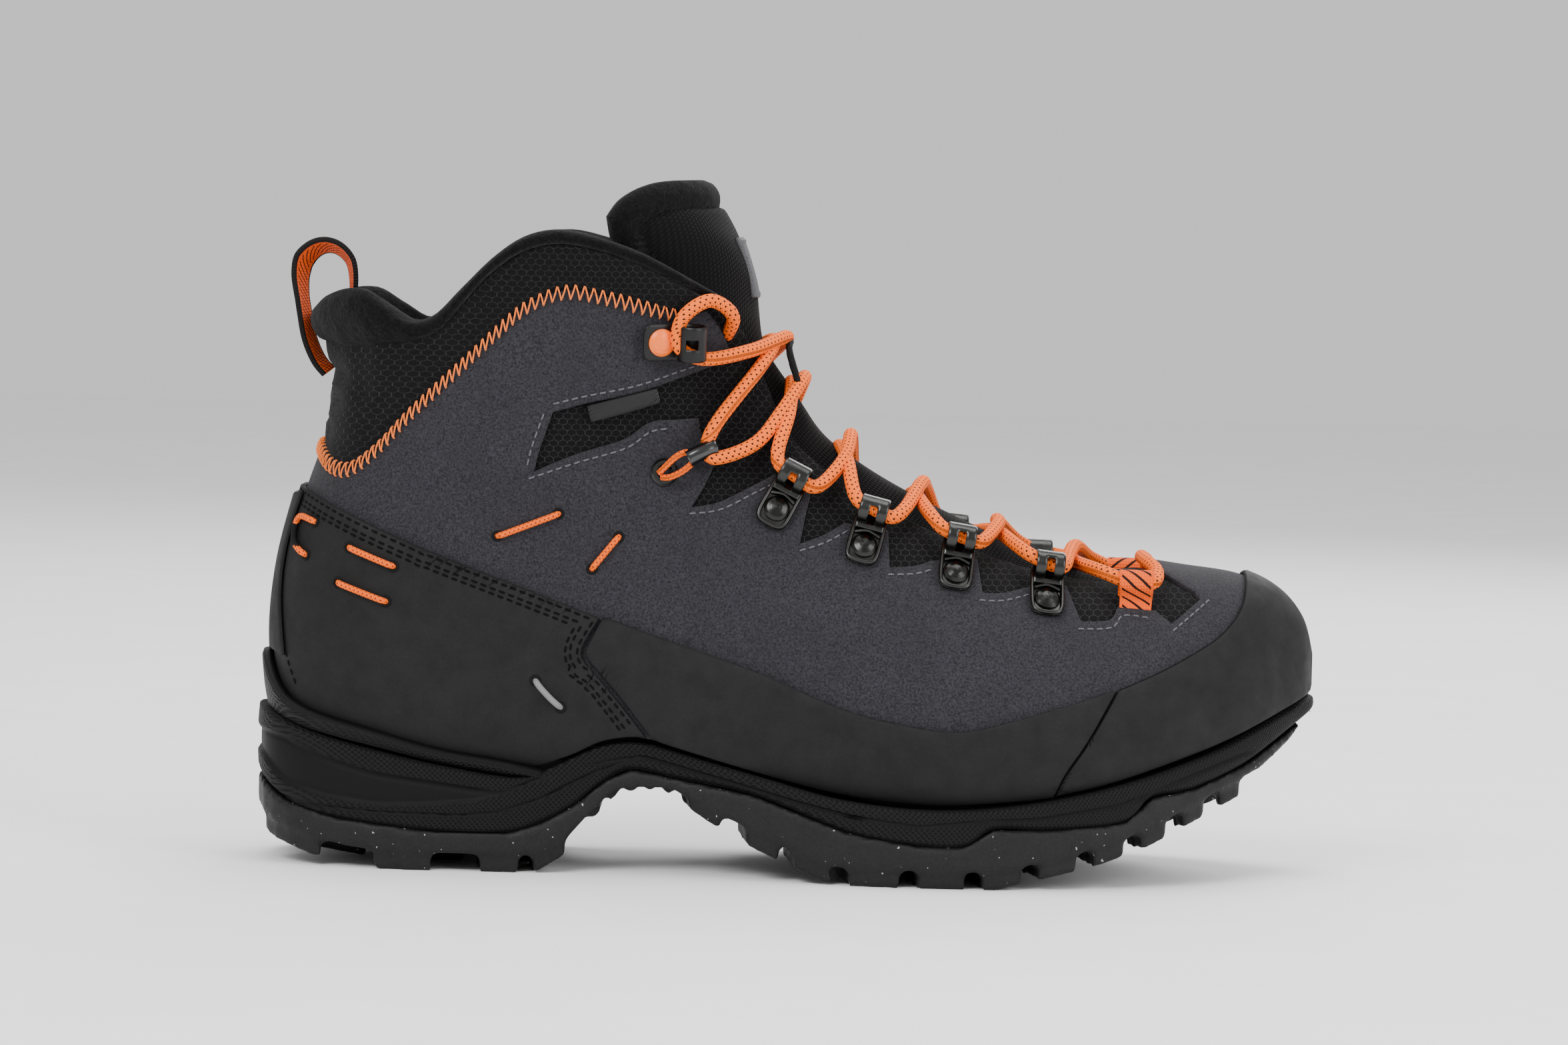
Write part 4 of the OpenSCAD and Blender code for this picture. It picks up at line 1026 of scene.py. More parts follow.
# ---- Lining ----
LINING_TOP = [(17, 117), (21, 112), (28, 111), (36, 117), (46, 127), (58, 139), (70, 151),
              (79, 159), (88, 162), (98, 161), (110, 157), (120, 153), (133, 149),
              (140, 141), (144, 131), (151, 120), (161, 111), (175, 102.5), (190, 96),
              (206, 90.5), (222, 86.5), (240, 83.5), (256, 84), (263, 89.7)]
lining_top = trace(LINING_TOP, OUTER, 2.4)
lining_top = ending(starting(lining_top, AT_SEAM - 0.1, -180), 4.1, 0)
lining_low = resample(lasted, foot(lasted), 2.4)
lining = panel("lining", around_both(lining_top, lining_low, AT_SEAM - 0.1, AT_SOLE),
               -6.6, -3.4, [LINING], edge=0.8, spacing=5)
finished(lining, "lining_fleece", "lining_outer", "lining_inner")

# ---- Padded collar ----
COLLAR_COLUMNS = 70


def evenly(points, first):
    """Places along a collar line, evenly spread, from the back of the heel forward."""
    q = place(spline(points), OUTER)
    q = np.concatenate([[(first, -180)], q[1:]])
    walked = distances(foot(q))
    return at_stops(q, walked, np.linspace(0, walked[-1], COLLAR_COLUMNS))


collar_low = evenly(COLLAR_SEAM + [(127, 161)], AT_SEAM)
collar_mid = evenly(FLEECE_EDGE, 19.45)
collar_high = evenly(COLLAR_RIM, AT_RIM)
# How far up from the seam, counting 1 at the fleece's edge and 2 at the rim, and the lift.
COLLAR_PROFILE = [
    (-0.06, -1.3), (-0.04, -0.6), (0.02, -0.1), (0.07, 0.6), (0.14, 1.2), (0.25, 1.6),
    (0.4, 1.8), (0.55, 1.9), (0.7, 1.8), (0.82, 1.5), (0.91, 1.0), (0.97, 0.3), (1.0, -0.1),
    (1.06, 0.5), (1.15, 1.2), (1.3, 1.7), (1.5, 1.9), (1.7, 1.6), (1.86, 0.9), (1.96, -0.3),
    (2.0, -1.8), (2.0, -3.3), (1.94, -4.8), (1.8, -6.1), (1.6, -6.8), (1.3, -7.1),
    (1.0, -7.1), (0.7, -7.0), (0.4, -7.0), (0.15, -7.0), (-0.06, -6.7), (-0.1, -5.0),
    (-0.1, -3.0)]
# So many faces up a column of the profile are mesh, and the rest are fleece.
MESH_FACES = 12


def creases(p, k):
    """Folds across the soft part behind the ankle, and slight puckers along the rim."""
    x, y, z = p[..., 0], p[..., 1], p[..., 2]
    level = z + 0.28 * np.abs(y)
    depth = np.zeros(x.shape)
    for height, deep, wide in ((127, 1.6, 1.8), (134.5, 2.2, 2.0), (142, 1.9, 1.8)):
        bend = height + 1.6 * np.sin(y / 6 + height)
        depth += deep * np.exp(-((level - bend) / wide) ** 2)
    reach = np.exp(-np.clip((x - 22) / 17, 0, None) ** 2)
    around = np.arctan2(y, x - 85) * 11
    pucker = 0.22 * np.sin(around * 3.1 + z / 9) * np.exp(-((k - 1.0) / 0.5) ** 2)
    swell = 0.35 * np.sin(around * 1.3 + 1.0) * np.sin(z / 11)
    return pucker + swell - depth * reach


rows, row_flat = [], []
for i in list(range(COLLAR_COLUMNS - 1, 0, -1)) + list(range(COLLAR_COLUMNS)):
    side = OUTER if len(rows) < COLLAR_COLUMNS - 1 or i == 0 else INNER
    column, where = [], []
    for k, lift in COLLAR_PROFILE:
        if k < 1:
            q = collar_low[i] * (1 - k) + collar_mid[i] * k
        else:
            q = collar_mid[i] * (2 - k) + collar_high[i] * (k - 1)
        column.append(q * [1, -side])
        where.append((k, lift))
    column, where = np.array(column), np.array(where)
    flat_p = foot(column)
    outside = where[:, 1] > -2.5
    lift = where[:, 1] + np.where(outside, creases(flat_p, where[:, 0]), 0)
    rows.append(foot(column, lift))
    row_flat.append(np.concatenate([flat_coords(flat_p, "round"), where[:, :1]], 1))
collar = loft("collar", rows, [HEX_MESH, FLEECE], row_flat,
              pick=lambda k: int(k >= MESH_FACES), smooth_angle=75)
finished(collar, "collar_fleece", "collar")

# ---- Tongue ----
TONGUE_SIDE = [(246, 78), (222, 78), (200, 83), (178, 90), (158, 99), (143, 110), (134, 126),
               (131, 140), (127, 151), (116, 158), (107, 168), (102, 178), (100.5, 186)]
TONGUE_RIM = [(100.5, 186), (105, 191.5), (114, 197), (124, 200.5), (131, 202)]
tongue_edge = joined(trace([(257, 90.6), (253, 86), (246, 78)], OUTER, 2.2),
                     trace(TONGUE_SIDE, OUTER, 2.2), trace(TONGUE_RIM, OUTER, 2.0))
tongue_edge = ending(starting(tongue_edge, 4.4, 0), 21, 0)
tongue_loop = joined(tongue_edge, mirrored(tongue_edge))[:-1]
FLEECE_WIDTH = 9


def tongue_rise(p, depth):
    """The padding: full over the instep, higher near the toes, fat round the fleece edge,
    with a seam inside it, and softly ridged by the laces above it."""
    x, y, z = p[:, 0], p[:, 1], p[:, 2]
    toes = np.clip((x - 238) / 14, 0, 1)
    instep = (np.clip((x - 142) / 18, 0, 1) * np.clip((246 - x) / 12, 0, 1)
              * np.clip((152 - z) / 14, 0, 1))
    middle = np.clip(1 - (np.abs(y) - 12) / 12, 0, 1)
    crown = np.clip(1 - (np.abs(y) - 4) / 14, 0, 1)
    high = np.clip((z - 156) / 8, 0, 1)
    roll = np.sin(np.clip(depth / FLEECE_WIDTH, 0, 1) * np.pi)
    seam = np.exp(-((depth - FLEECE_WIDTH - 0.4) / 1.0) ** 2)
    wave = 0.4 * np.sin(z / 4.3 + y / 9) * np.clip((z - 110) / 20, 0, 1)
    return (4.6 * toes * middle + 2.5 * instep * crown * (3 - 2 * crown) * crown
            + high * (1.4 * roll - 1.1 * seam) + 0.6 + wave)


tongue = panel("tongue", tongue_loop, -12.8, -8.3, [RIB_MESH, FLEECE], edge=1.9,
               spacing=2.4, rise=tongue_rise, flat="ridge",
               pick=lambda p, d: (d < FLEECE_WIDTH) & (p[:, 2] > 152))
finished(tongue, "mesh", "tongue", "tongue_top", body=None)
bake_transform(tongue)

label_edge = trace([(141, 184), (145, 173), (146.5, 164.5)], OUTER, 1.2)
LABEL_TOP, LABEL_LOW = 19.05, 16.3
across_top = trace([(143, 184.2), (141, 184)], OUTER, 1.0)
label_half = joined(starting(across_top, LABEL_TOP, 0), label_edge, [(LABEL_LOW, 0)])
label_loop = joined(label_half, mirrored(label_half))[:-1]


def raised_border(p, depth):
    """A moulded frame round a blank field."""
    return 0.35 * np.exp(-((depth - 1.6) / 0.5) ** 2)


tongue_label = panel("tongue_label", label_loop, -7.9, -6.9, [LABEL_GREY], edge=0.4,
                     spacing=1.2, rise=raised_border)
finished(tongue_label, "label_grey", "tongue_label", body=None)
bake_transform(tongue_label)

# ---- Side label, blank ----
label_loop = joined(trace([(93.8, 132.6), (104, 135.4), (113.4, 138)], OUTER, 1.0),
                    trace([(113.4, 138), (114.4, 133.8)], OUTER, 1.0),
                    trace([(114.4, 133.8), (105, 130.8), (95, 128)], OUTER, 1.0),
                    trace([(95, 128), (93.8, 132.6)], OUTER, 1.0))[:-1]
side_label = panel("side_label", label_loop, -1.2, 0.9, [LABEL], edge=0.4, spacing=1.2,
                   rise=raised_border)
finished(side_label, "label_rubber", "side_label")

# ---- Webbing ----
PULL_PATH = [(18, 139.5), (15, 143), (12.3, 149), (10.8, 156), (9.6, 163.5), (9.5, 168),
             (10.5, 172), (13.5, 175), (17, 176), (20.5, 175), (23.5, 172), (24.6, 168),
             (24.8, 163)]
flat_path = spline(PULL_PATH, 8)
path = np.stack([flat_path[:, 0], np.zeros(len(flat_path)), flat_path[:, 1]], -1)
# The tape is twisted a little, so that its face shows from the side.
twist = np.radians(np.interp(np.linspace(0, 1, len(path)), [0, 0.3, 0.5, 0.7, 1],
                             [14, 12, 26, 18, 10]))
heading = unit(np.gradient(flat_path, axis=0))
across = np.stack([np.sin(twist) * heading[:, 1], np.cos(twist),
                   -np.sin(twist) * heading[:, 0]], -1)
pull = new_object("pull_loop", ribbon(path, across, 11, 1.4), [PULL_TAPE])
finished(pull, "orange_webbing", "pull_loop_anchor", "pull_loop", body=None)
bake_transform(pull)

# ---- Lace ----
# From inside the cuff over the top hook. The other end is its mirror image.
LACE_END = [
    (123, -17, 124), (127, -17, 141), (131.5, -19, 151), (134.5, -27, 158.5),
    (128, -32, 163), (120.5, -36.5, 158), (119.5, -36, 150), (127, -33, 146.5)]
LACE_MIDDLE = [
    (140, -21, 149), (150, 0, 152.6), (143.5, 19, 145), (131, 29.5, 129),
    (128, 31.5, 121.5), (131, 31.5, 118.5), (142, 27, 123), (149.5, 18, 132.5),
    (151.5, 0, 139.8), (151, -18, 131.5), (148, -29, 119), (153, -30.5, 114.2),
    (159.5, -29, 111), (167, -18, 118.5), (169, 0, 124.9), (169.8, 18, 117),
    (170.5, 27, 108.5), (176, 27.2, 105.2), (182, 26, 103), (187.5, 12, 108),
    (188.3, -8, 108), (192, -24, 103.5), (195.5, -29.5, 100), (200.5, -30.3, 98),
    (206.5, -28, 96.4), (211.7, -11, 100.7), (212.3, 9, 100.5), (218.5, 25, 94.3),
    (225.3, 29.2, 90.8), (231, 27, 90), (234, 10, 90.2), (234.8, -8, 89.9),
    (241, -23.5, 88.5), (249, -28, 85.8), (255.5, -27, 85.8), (257, -19, 88.6),
    (254.5, -8, 91), (254.5, 12, 91), (257, 23, 88.8), (256, 31, 85.8), (249, 32, 85.8),
    (240.5, 26, 89.5), (235, 5, 94), (232, -15, 92.5), (230, -27, 89.8),
    (225.8, -28.6, 90.6), (219.5, -27, 93.5), (212, -8, 98.2), (209, 10, 97.8),
    (205.5, 25, 96.6), (200.2, 26.8, 98.2), (195, 26.2, 101), (191.3, 12, 109.5),
    (189.5, -6, 111.6), (185, -23.5, 105.5), (181, -29.8, 102.8), (176, -31, 105),
    (170.5, -30, 108.4), (168, -17, 118), (165.8, 0, 121.6), (163.5, 17.5, 116),
    (158.5, 26.5, 111), (153.5, 27.9, 114), (148.3, 27.5, 118.5), (151.5, 17.5, 130.5),
    (155.3, 0, 141.3), (149.5, -18.5, 132.5), (142, -27, 123), (131, -31.5, 118.5),
    (128, -31.5, 121.5), (131, -29.5, 129), (143, -18.5, 145), (146.2, 0, 151.6),
    (140, 21, 149)]
LACE_ROUTE = LACE_END + LACE_MIDDLE + [(x, -y, z) for x, y, z in LACE_END[::-1]]
LACE_D = 4
lace = new_object("lace", tube(spline(LACE_ROUTE, 7), LACE_D / 2, 14), [LACE])
finished(lace, "lace_cord", "lace")

# ---- Loops at the foot of the throat ----
# The middle of the fold of each loop, where the lace goes through.
TOE_FOLDS = {OUTER: (250.6, -28, 85.8), INNER: (250.6, 32, 85.8)}
for side, word in SIDES:
    cx, cy, cz = TOE_FOLDS[side]
    under = foot(place([(cx, 76.5), (cx, 78.6), (cx, 80.4)], side), [-1.6, -0.5, 0.9])
    ahead, behind = foot(place([(cx + 5, 79), (cx - 5, 79)], side))
    lie = unit((ahead - behind) * [1, 1, 0])
    turn = np.radians([-20, 10, 45, 80, 115, 150])
    around = np.stack([np.full(6, cx), cy + side * 3.1 * np.cos(turn),
                       cz + 3.1 * np.sin(turn)], -1)
    tail = [(cx, cy - side * 3.6, cz - 2), (cx, cy - side * 4, cz - 7)]
    path = spline(np.concatenate([under, around, tail]), 10)
    path = resample(path, path, 0.8)
    # The end that is sewn down lies flat on the suede, and the fold stands across the lace.
    sewn_half = (np.arange(len(path)) < len(path) / 2)[:, None]
    lying = np.clip((83.5 - path[:, 2:]) / 3, 0, 1) * sewn_half
    across = (1, 0, 0) * (1 - lying) + lie * lying
    finished(new_object(f"toe_loop_{word}", ribbon(path, across, 9.6, 1.0), [TOE_TAPE]),
             "orange_webbing", f"toe_loop_{word}")

# ---- Cable between the eyelets and the ferrules, and round the heel ----
CABLE_D = 1.8
LOOP_LINES = [[(114.6, 32.0, 113.9), (116.2, 33.0, 115.6), (119, 33.8, 118.4),
               (121.6, 33.8, 119.9), (124, 33, 119.9)],
              [(115.4, 32.0, 112.7), (117.6, 33.2, 112.8), (120.6, 33.8, 114.2),
               (123, 33.8, 116), (124.6, 33.2, 117.8)]]
FERRULE_LINE = [(122.8, 33.2, 118.2), (125.2, 33, 119.5), (127.6, 32.3, 120.7),
                (129.8, 31.2, 121.6)]
# Dashes of the heel cable, each with the lift of the surface that it lies on.
DASHES = [([(69, 95), (78, 98.5), (87, 102)], 0), ([(96, 86), (100, 91), (104, 96)], 0),
          ([(28, 91), (34.5, 88.5), (41, 86)], 2), ([(25, 81), (32, 78.5), (39, 76)], 2),
          ([(19, 97), (15, 98), (13.4, 94.5), (13.6, 90.5), (16.5, 87.5)], 2),
          ([(81, 55), (83, 52.5), (86, 49.5), (89, 47)], 2)]
GREY_DASH = len(DASHES) - 1
# The curved dash passes under a black tape in its middle.
C_DASH = GREY_DASH - 1
TAPED = (90.4, 96.6)
for side, word in SIDES:
    parts = [tube(spline([(x, side * y, z) for x, y, z in line], 6), CABLE_D / 2, 10)
             for line in LOOP_LINES]
    finished(new_object(f"cable_loop_{word}", gather(parts), [CABLE]), "orange_cable",
             f"cable_loop_{word}")
    sleeve = spline([(x, side * y, z) for x, y, z in FERRULE_LINE], 6)
    swell = 2.55 + 0.3 * np.abs(np.linspace(-1, 1, len(sleeve))) ** 4
    ferrule = tube(sleeve, swell, 20, (0, 0, 1), 0.95)
    finished(new_object(f"ferrule_{word}_shape", ferrule, [FERRULE]), "ferrule_plastic",
             f"ferrule_{word}")
    parts, picks, holes = [], [], []
    for number, (line, base) in enumerate(DASHES):
        q = trace(line, side, 0.5)
        ends = np.minimum(np.arange(len(q)), np.arange(len(q))[::-1]) * 0.5
        lift = base + CABLE_D / 2 + 0.1 - 2.3 * np.clip(1 - ends / 2.2, 0, 1) ** 2
        parts.append(tube(foot(q, lift), CABLE_D / 2, 10, foot_normal(q)))
        height = parts[-1][0][:, 2]
        for face in parts[-1][1]:
            taped = number == C_DASH and TAPED[0] < height[list(face)].mean() < TAPED[1]
            picks.append(1 if number == GREY_DASH else 2 if taped else 0)
        for k in (1, -2):
            centre, normal = foot(q[k], base), foot_normal(q[k])
            rise = unit(np.cross(normal, (0, 1, 0)))
            side_way = np.cross(normal, rise)
            turn = np.linspace(0, 2 * np.pi, 17)[:, None]
            ring = centre + 1.25 * (np.cos(turn) * rise + np.sin(turn) * side_way)
            holes.append(tube(ring + 0.12 * normal, 0.42, 6, normal))
    cable = new_object(f"heel_cable_{word}", gather(parts), [CABLE, GREY_CABLE, TAPE], picks)
    finished(cable, "orange_cable", f"heel_cable_{word}")
    finished(new_object(f"cable_holes_{word}", gather(holes), [TAPE]), "black_tape")

# ---- Lace hooks ----
HOOK_PLACES = [(148, 104), (173, 94), (199, 87), (225, 80)]
TOP_HOOK_PLACE = (121, 151.5)
PLATE_T = 1.0
CHANNEL_Z = 4.2
CHANNEL_RADIUS = 3.65
# Stand in for the angle of the fold on the plate before it and the tail after it.
ON_PLATE = -999
ON_TAIL = 900


def fixed_on(p, side, lift, turn=0.0):
    """Moves points from a fitting's own frame onto the boot: x up the instep, y across it
    and z out of the suede."""
    q = place(p, side)
    n = foot_normal(q)
    up_way = unit(foot(q - [0, side]) - foot(q + [0, side]))
    turned = math.radians(side * turn)
    across = np.cross(n, up_way)
    x_way = math.cos(turned) * up_way + math.sin(turned) * across
    y_way = -math.sin(turned) * up_way + math.cos(turned) * across
    centre = foot(q, lift)
    return lambda local: (centre + local[..., :1] * x_way + local[..., 1:2] * y_way
                          + local[..., 2:] * n)


def folded_plate(start, corner, half, top_half, channel_x, slot_half, slot, end, tail=None):
    """Sheet metal from a plate with round corners, up and over a channel for the lace, and
    down to tail. The slot is cut between two angles of the fold. Returns a grid of points,
    the way out of the sheet at each, and which of them are cut away."""
    flat_run = np.arange(start, channel_x - 0.9, 0.45)
    fold = np.radians(np.arange(-105, end + 0.1, 7))
    path = np.concatenate([
        np.stack([flat_run, np.full(len(flat_run), PLATE_T / 2)], -1),
        np.stack([channel_x + CHANNEL_RADIUS * np.cos(fold),
                  CHANNEL_Z + CHANNEL_RADIUS * np.sin(fold)], -1)])
    angle = np.concatenate([np.full(len(flat_run), ON_PLATE), np.degrees(fold)])
    last = path[-1]
    if tail:
        run = np.linspace(0, 1, 9)[1:, None]
        path = np.concatenate([path, last + run * (np.array(tail) - last)])
        angle = np.concatenate([angle, np.full(len(run), ON_TAIL)])
    close = np.clip((corner - (flat_run - start)) / corner, 0, 1)
    width = half - corner + corner * np.sqrt(1 - close ** 2)
    upper = half + (top_half - half) * np.clip(np.arange(len(path) - len(flat_run)) / 14, 0, 1)
    width = np.concatenate([width, upper])
    share = np.linspace(-1, 1, 23)
    way = unit(np.gradient(path, axis=0))
    out = np.stack([-way[:, 1], np.zeros(len(way)), way[:, 0]], -1)
    out *= np.where(angle == ON_PLATE, 1, -1)[:, None]
    folded = (angle != ON_PLATE) & (angle != ON_TAIL)
    out[folded] = np.stack([np.cos(fold), np.zeros(len(fold)), np.sin(fold)], -1)
    grid = np.stack(np.broadcast_arrays(path[:, None, 0], share * width[:, None],
                                        path[:, None, 1]), -1)
    cut = ((angle > slot[0]) & (angle < slot[1]))[:, None] & (np.abs(grid[..., 1]) < slot_half)
    return grid, np.broadcast_to(out[:, None], grid.shape), cut


def thick(grid, out, cut, thickness):
    """A closed solid round a grid of points, with the cut points left out and every edge
    slightly rounded."""
    rows, cols = cut.shape
    quads = [(i * cols + j, i * cols + j + 1, (i + 1) * cols + j + 1, (i + 1) * cols + j)
             for i in range(rows - 1) for j in range(cols - 1)
             if not (cut[i, j] or cut[i, j + 1] or cut[i + 1, j] or cut[i + 1, j + 1])]
    edges = open_edges(quads)
    p, n = grid.reshape(-1, 3), out.reshape(-1, 3)
    depth = nearest(p, p[np.unique(np.array(edges).ravel())])
    half = thickness / 2 - rounded(0.3)(depth)
    used = np.unique(np.array(quads))
    index = np.full(len(p), -1)
    index[used] = np.arange(len(used))
    top = p[used] + n[used] * half[used, None]
    low = p[used] - n[used] * half[used, None]
    count = len(used)
    faces = []
    for quad in quads:
        a = [int(index[k]) for k in quad]
        faces.append(tuple(a))
        faces.append(tuple(k + count for k in reversed(a)))
    for a, b in edges:
        a, b = int(index[a]), int(index[b])
        faces.append((b, a, a + count, b + count))
    return np.concatenate([top, low]), faces, np.zeros((2 * count, 3))


def hook(name, parts, put, material):
    """Parts of a hook, drawn in its own frame, put in their place on the boot."""
    verts, faces, flat = gather(parts)
    finished(new_object(f"{name}_shape", (put(verts), faces, flat), [material],
                        smooth_angle=50), "hook_metal", name)


def lace_hook(name, p, side):
    """A plate whose sides are drawn up into a frame round the rivet, and whose upper end
    folds over the lace in two fingers."""
    body = thick(*folded_plate(-5.6, 2.8, 4.7, 4.1, 9.9, 1.1, (104, 216), 216,
                               tail=(4.9, 1.75)), 0.95)
    rim = [(9.2, 4.0, 1.2), (5.5, 4.25, 1.45), (0, 4.35, 1.5), (-3.4, 4.1, 1.45),
           (-4.9, 2.9, 1.4), (-5.2, 0, 1.4), (-4.9, -2.9, 1.4), (-3.4, -4.1, 1.45),
           (0, -4.35, 1.5), (5.5, -4.25, 1.45), (9.2, -4.0, 1.2)]
    frame_bar = tube(spline(rim, 5), 0.62, 8, (0, 0, 1))
    neck = tube(spline([(3.6, -3.6, 1.2), (4.6, 0, 1.7), (3.6, 3.6, 1.2)], 5), 0.55, 8, (0, 0, 1))
    hook(name, [body, frame_bar, neck], fixed_on(p, side, 0.4), DARK_METAL)


def top_hook(name, side):
    """The topmost hook: a wide plate with its rivet to the back, and a boxy cover."""
    body = thick(*folded_plate(-13.2, 2.0, 5.2, 5.0, 0, 1.3, (84, 136), 210), 1.0)
    hook(name, [body], fixed_on(TOP_HOOK_PLACE, side, 1.4, 24), HOOK_PLASTIC)


for side, word in SIDES:
    for k, p in enumerate(HOOK_PLACES):
        lace_hook(f"lace_hook_{word}_{k + 1}", p, side)
    top_hook(f"top_hook_{word}", side)

# ---- Lace keeper on the tongue ----
KEEPER = [(154, -9, 137), (153, -9.5, 141), (151.5, -9, 145.5), (150.6, -6, 149.5),
          (151, 0, 151.2), (150.6, 6, 149.5), (151.5, 9, 145.5), (153, 9.5, 141), (154, 9, 137)]
finished(new_object("lace_keeper", tube(spline(KEEPER, 6), 1.0, 8), [TAPE]), "black_tape",
         "lace_keeper")

# ---- Midsole and heel cradle ----
OUTER_PLAN = [(0, 0), (3, -17), (10, -27), (22, -34), (40, -38), (60, -39), (85, -38.5),
              (110, -39.5), (135, -44), (160, -51), (185, -55.5), (205, -56), (225, -54),
              (245, -49), (262, -41), (277, -31), (290, -18.5), (299, -6), (303.5, 2),
              (305, 9)]
INNER_PLAN = [(305, 9), (304, 15), (298, 24), (288, 34), (274, 42.5), (258, 49),
              (240, 53), (225, 53.5), (205, 51), (185, 46), (160, 39), (135, 34),
              (110, 33), (85, 34.5), (60, 37), (40, 38), (22, 34), (10, 27), (3, 17), (0, 0)]
SOLE_LINE = [(-4, 27), (10, 18), (25, 14), (54, 11), (73, 11), (83, 14), (92, 19),
             (102, 27), (109, 30), (121, 28), (144, 24), (170, 15), (189, 12), (203, 12),
             (211, 17), (227, 17), (248, 19), (256, 26), (268, 28), (283, 34), (296, 42),
             (309, 50)]
RIM_LINE = [(-4, 46), (14, 39), (34, 34), (53, 30), (76, 27), (88, 31), (98, 36),
            (107, 38), (116, 37), (131, 33), (147, 29), (169, 24), (195, 22), (220, 24),
            (245, 29), (271, 37), (289, 45), (309, 54)]
FLOOR = [(-4, 33), (30, 33), (60, 32.5), (90, 32), (110, 31.5), (121, 30.5), (150, 26.5),
         (180, 20.5), (205, 18.5), (225, 19.5), (245, 23), (257, 27.5), (269, 30.5),
         (285, 36), (309, 55)]
# Lines of the side of the sole: [where, depth, half width].
GROOVES = [
    ([(1, 25), (8, 19.5), (17, 17.5), (37, 16.3), (60, 16), (71, 17), (83, 21), (90, 25),
      (98, 29), (106, 32)], 0.8, 0.55),
    ([(3, 37), (9, 36), (13, 34), (21, 31), (36, 27), (52, 25), (67, 23)], 1.2, 0.7),
    ([(2, 31), (9, 24), (21, 20.5), (37, 18.5), (52, 19.2), (64, 20.3), (73, 23), (83, 27)],
     0.9, 0.6),
    ([(100, 32), (112, 34), (124, 31), (140, 27), (156, 23), (172, 19.5)], 0.9, 0.6),
    ([(172, 19.5), (190, 17.5), (208, 19.5), (224, 20.3), (246, 24), (262, 30), (282, 37.5)],
     0.7, 0.6),
]
# How deep the line is where the midsole meets the outsole.
EDGE_GROOVE = 1.5
# The sunk field at the heel lies between the second groove and the third.
WEDGE_TOP, WEDGE_LOW = GROOVES[1][0], GROOVES[2][0]


def level(line, x):
    line = np.asarray(line, float)
    return np.interp(x, line[:, 0], line[:, 1])


def fade(line, x):
    """One along a line's length, and nothing past its ends."""
    return np.clip((x - line[0][0]) / 4 + 1, 0, 1) * np.clip((line[-1][0] - x) / 4 + 1, 0, 1)


def sole_relief(x, z):
    """How far the side of the midsole stands in, and how much of it is textured."""
    deep = np.zeros_like(x)
    for line, depth, wide in GROOVES:
        deep += depth * fade(line, x) * np.exp(-((z - level(line, x)) / wide) ** 2)
    upper, lower = level(WEDGE_TOP, x), level(WEDGE_LOW, x)
    in_wedge = (np.clip((upper - z) / 0.8, 0, 1) * np.clip((z - lower) / 0.8, 0, 1)
                * np.clip((70 - x) / 6, 0, 1))
    deep += 1.1 * in_wedge
    textured = 1 - np.clip(2.5 * deep, 0, 1)
    return deep, textured


plan = np.concatenate([spline(OUTER_PLAN, 14)[:-1], spline(INNER_PLAN, 14)[:-1]])
closed_plan = np.concatenate([plan, plan[:1]])
plan = resample(closed_plan, closed_plan, 1.8)[:-1]
way = unit(np.roll(plan, -1, axis=0) - np.roll(plan, 1, axis=0))
outward = np.stack([way[:, 1], -way[:, 0]], -1)


def drawn_in(points, inset):
    """The plan drawn in by inset all round, roughly evenly."""
    return points * [1 - 2 * inset / DRAWN_LENGTH, 1 - inset / 48] + [inset, 0]


SIDE_ROWS = 40
rows, row_flat = [], []
x = plan[:, 0]
low_z, high_z = level(spline(SOLE_LINE), x), level(spline(RIM_LINE), x)
floor_z = level(spline(FLOOR), x)
for f in np.arange(SIDE_ROWS + 1) / SIDE_ROWS:
    z = low_z + (high_z - low_z) * f
    deep, textured = sole_relief(x, z)
    deep = deep + EDGE_GROOVE * np.exp(-((z - low_z) / 0.9) ** 2)
    deep += 0.9 * np.clip(1 - (high_z - z) / 0.9, 0, 1) ** 2
    bulge = 0.5 * np.sin(np.pi * f)
    ring = plan + outward * (bulge - deep)[:, None]
    rows.append(np.concatenate([ring, z[:, None]], 1))
    row_flat.append(np.stack([x, z, textured], -1))
for inset, z in ((2.2, high_z), (5, high_z), (5, floor_z), (44, floor_z), (44, floor_z - 2),
                 (5.5, low_z)):
    ring = drawn_in(plan, inset)
    rows.append(np.concatenate([ring, z[:, None]], 1))
    row_flat.append(np.stack([x, z, np.zeros_like(x)], -1))
rows = np.swapaxes(np.array(rows), 0, 1)
row_flat = np.swapaxes(np.array(row_flat), 0, 1)
midsole = loft("midsole", rows, [MIDSOLE], row_flat, ring=True)
finished(midsole, "midsole_foam", "midsole")

CRADLE_TOP, CRADLE_LOW = 15, 14.22
cradle_top = starting(trace([(6, 60), (10.5, 51), (17, 46), (34, 41), (53, 36), (73, 33),
                             (84, 31)], OUTER, 1.2), CRADLE_TOP, -180)
cradle_low = starting(trace([(9.6, 44.5), (12, 43), (18, 41), (34, 37), (53, 33), (70, 30.5),
                             (82, 29.5)], OUTER, 1.2), CRADLE_LOW, -180)
half = joined(cradle_top, cradle_low[::-1])
for side, word in SIDES:
    loop = joined(half, outline(CRADLE_LOW, CRADLE_TOP, -180))[:-1] * [1, -side]
    cradle = panel(f"heel_cradle_{word}", loop, 2.2, 5.4, [CRADLE], edge=1.1, spacing=2)
    finished(cradle, "cradle_plastic", "heel_cradle")

# ---- Camera, floor and light ----
ROLL = math.radians(1.345)
RAISED = math.radians(3.0)
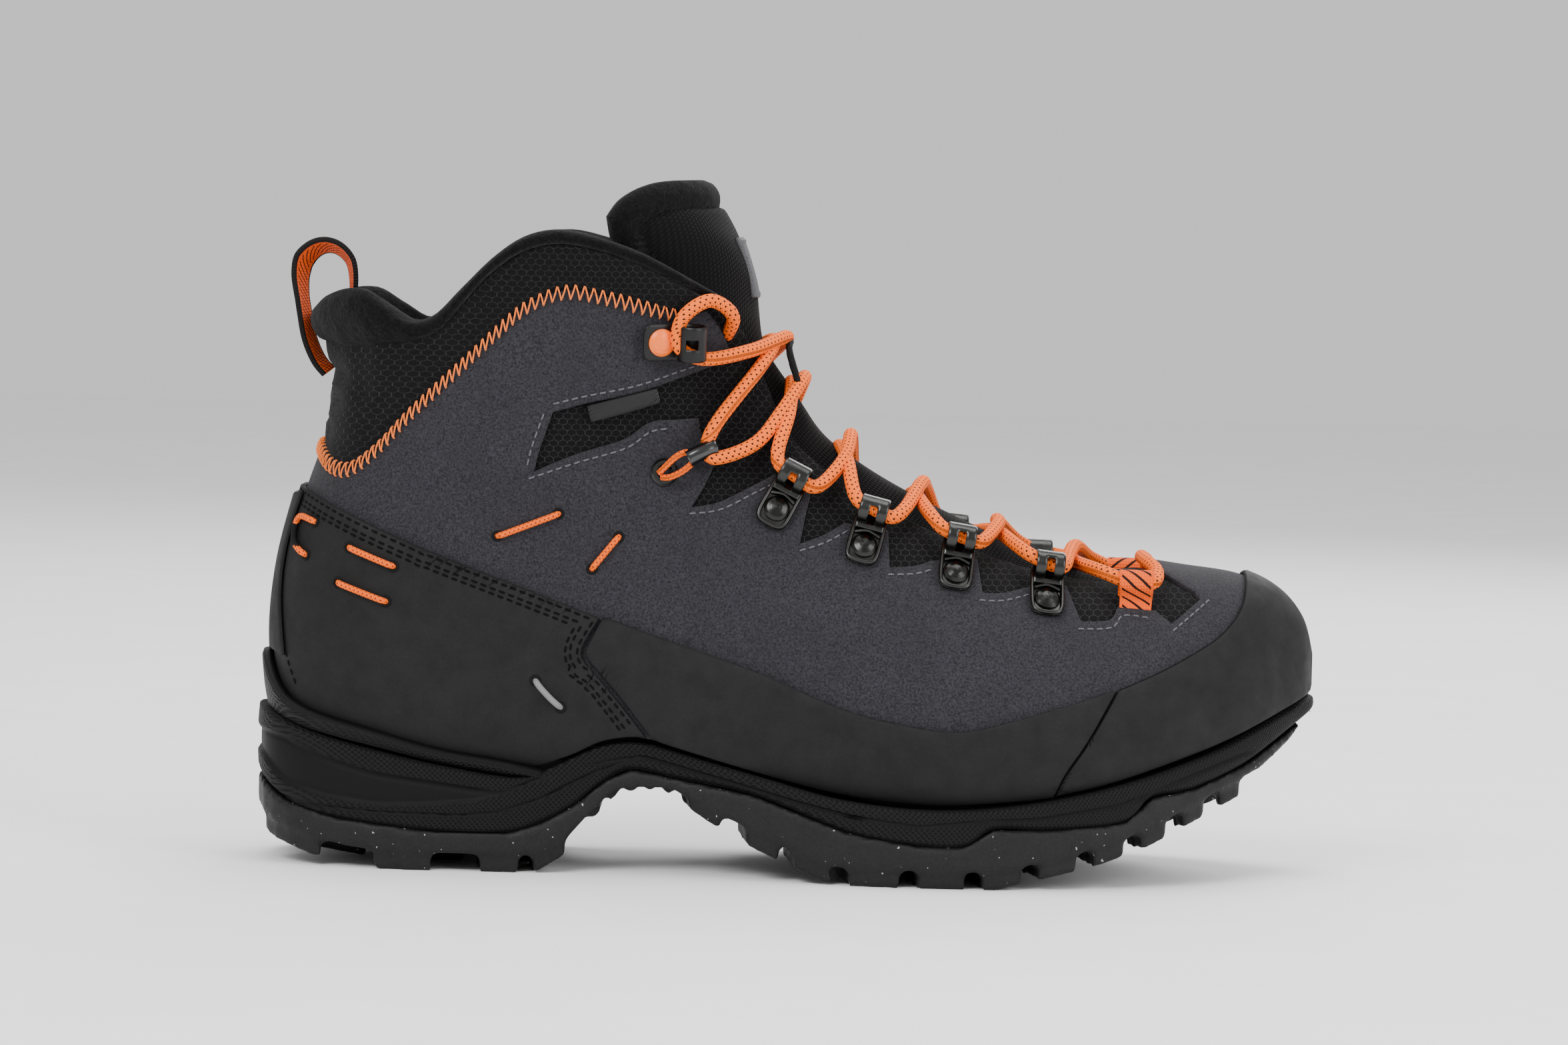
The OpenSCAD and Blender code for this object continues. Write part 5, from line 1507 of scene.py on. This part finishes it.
# How much of the side view the picture's width takes in, in millimetres.
SHOWN_WIDTH = 444.5
target = Vector(metres((150.3, -30, 100.6)))
camera_data = bpy.data.cameras.new("camera")
camera_data.lens = 130
camera_data.sensor_width = 36
camera = bpy.data.objects.new("camera", camera_data)
bpy.context.scene.collection.objects.link(camera)
back = Vector((0, -math.cos(RAISED), math.sin(RAISED)))
camera_data.clip_start = 0.05
distance = SHOWN_WIDTH * SCALE * camera_data.lens / camera_data.sensor_width
camera.location = target + back * distance
right = Vector((math.cos(ROLL), 0, math.sin(ROLL)))
up = back.cross(right).normalized()
right = up.cross(back).normalized()
camera.rotation_euler = Matrix((right, up, back)).transposed().to_euler()
bpy.context.scene.camera = camera

FLOOR_REACH = 4.0
floor_mesh = bpy.data.meshes.new("floor")
floor_mesh.from_pydata([(x * FLOOR_REACH, y * FLOOR_REACH, 0)
                        for x, y in ((-1, -1), (1, -1), (1, 1), (-1, 1))], [], [(0, 1, 2, 3)])
ground = Finish("floor", srgb(248, 248, 248), 0.7)
ground.feed(ground.shader.inputs["Base Color"],
            ground.mix(ground.spread(ground.noise(0.02, 3), 0.3, 0.7), srgb(246, 246, 246),
                       srgb(250, 250, 250)))
floor_mesh.materials.append(ground.material)
floor_obj = bpy.data.objects.new("floor", floor_mesh)
bpy.context.scene.collection.objects.link(floor_obj)

world = bpy.data.worlds.new("studio")
world.use_nodes = True
sky = world.node_tree.nodes["Background"].inputs
sky[0].default_value = (1, 1, 1, 1)
sky[1].default_value = 0.8
bpy.context.scene.world = world


LAMPS_AIM_AT = (0, 0, 0.08)


def softbox(name, where, width, height, watts):
    """A rectangular lamp that faces the boot."""
    data = bpy.data.lights.new(name, "AREA")
    data.shape = "RECTANGLE"
    data.size, data.size_y, data.energy = width, height, watts
    lamp = bpy.data.objects.new(name, data)
    lamp.location = where
    facing = Vector(LAMPS_AIM_AT) - Vector(where)
    lamp.rotation_euler = facing.to_track_quat("-Z", "Y").to_euler()
    bpy.context.scene.collection.objects.link(lamp)


softbox("key", (-0.7, -1.3, 1.3), 1.0, 0.8, 28)
softbox("front", (1.2, -0.9, 0.7), 0.8, 1.0, 14)
softbox("top", (0.1, 0.2, 1.7), 1.4, 0.8, 20)
softbox("rim", (0.5, 1.3, 0.9), 1.2, 0.6, 12)
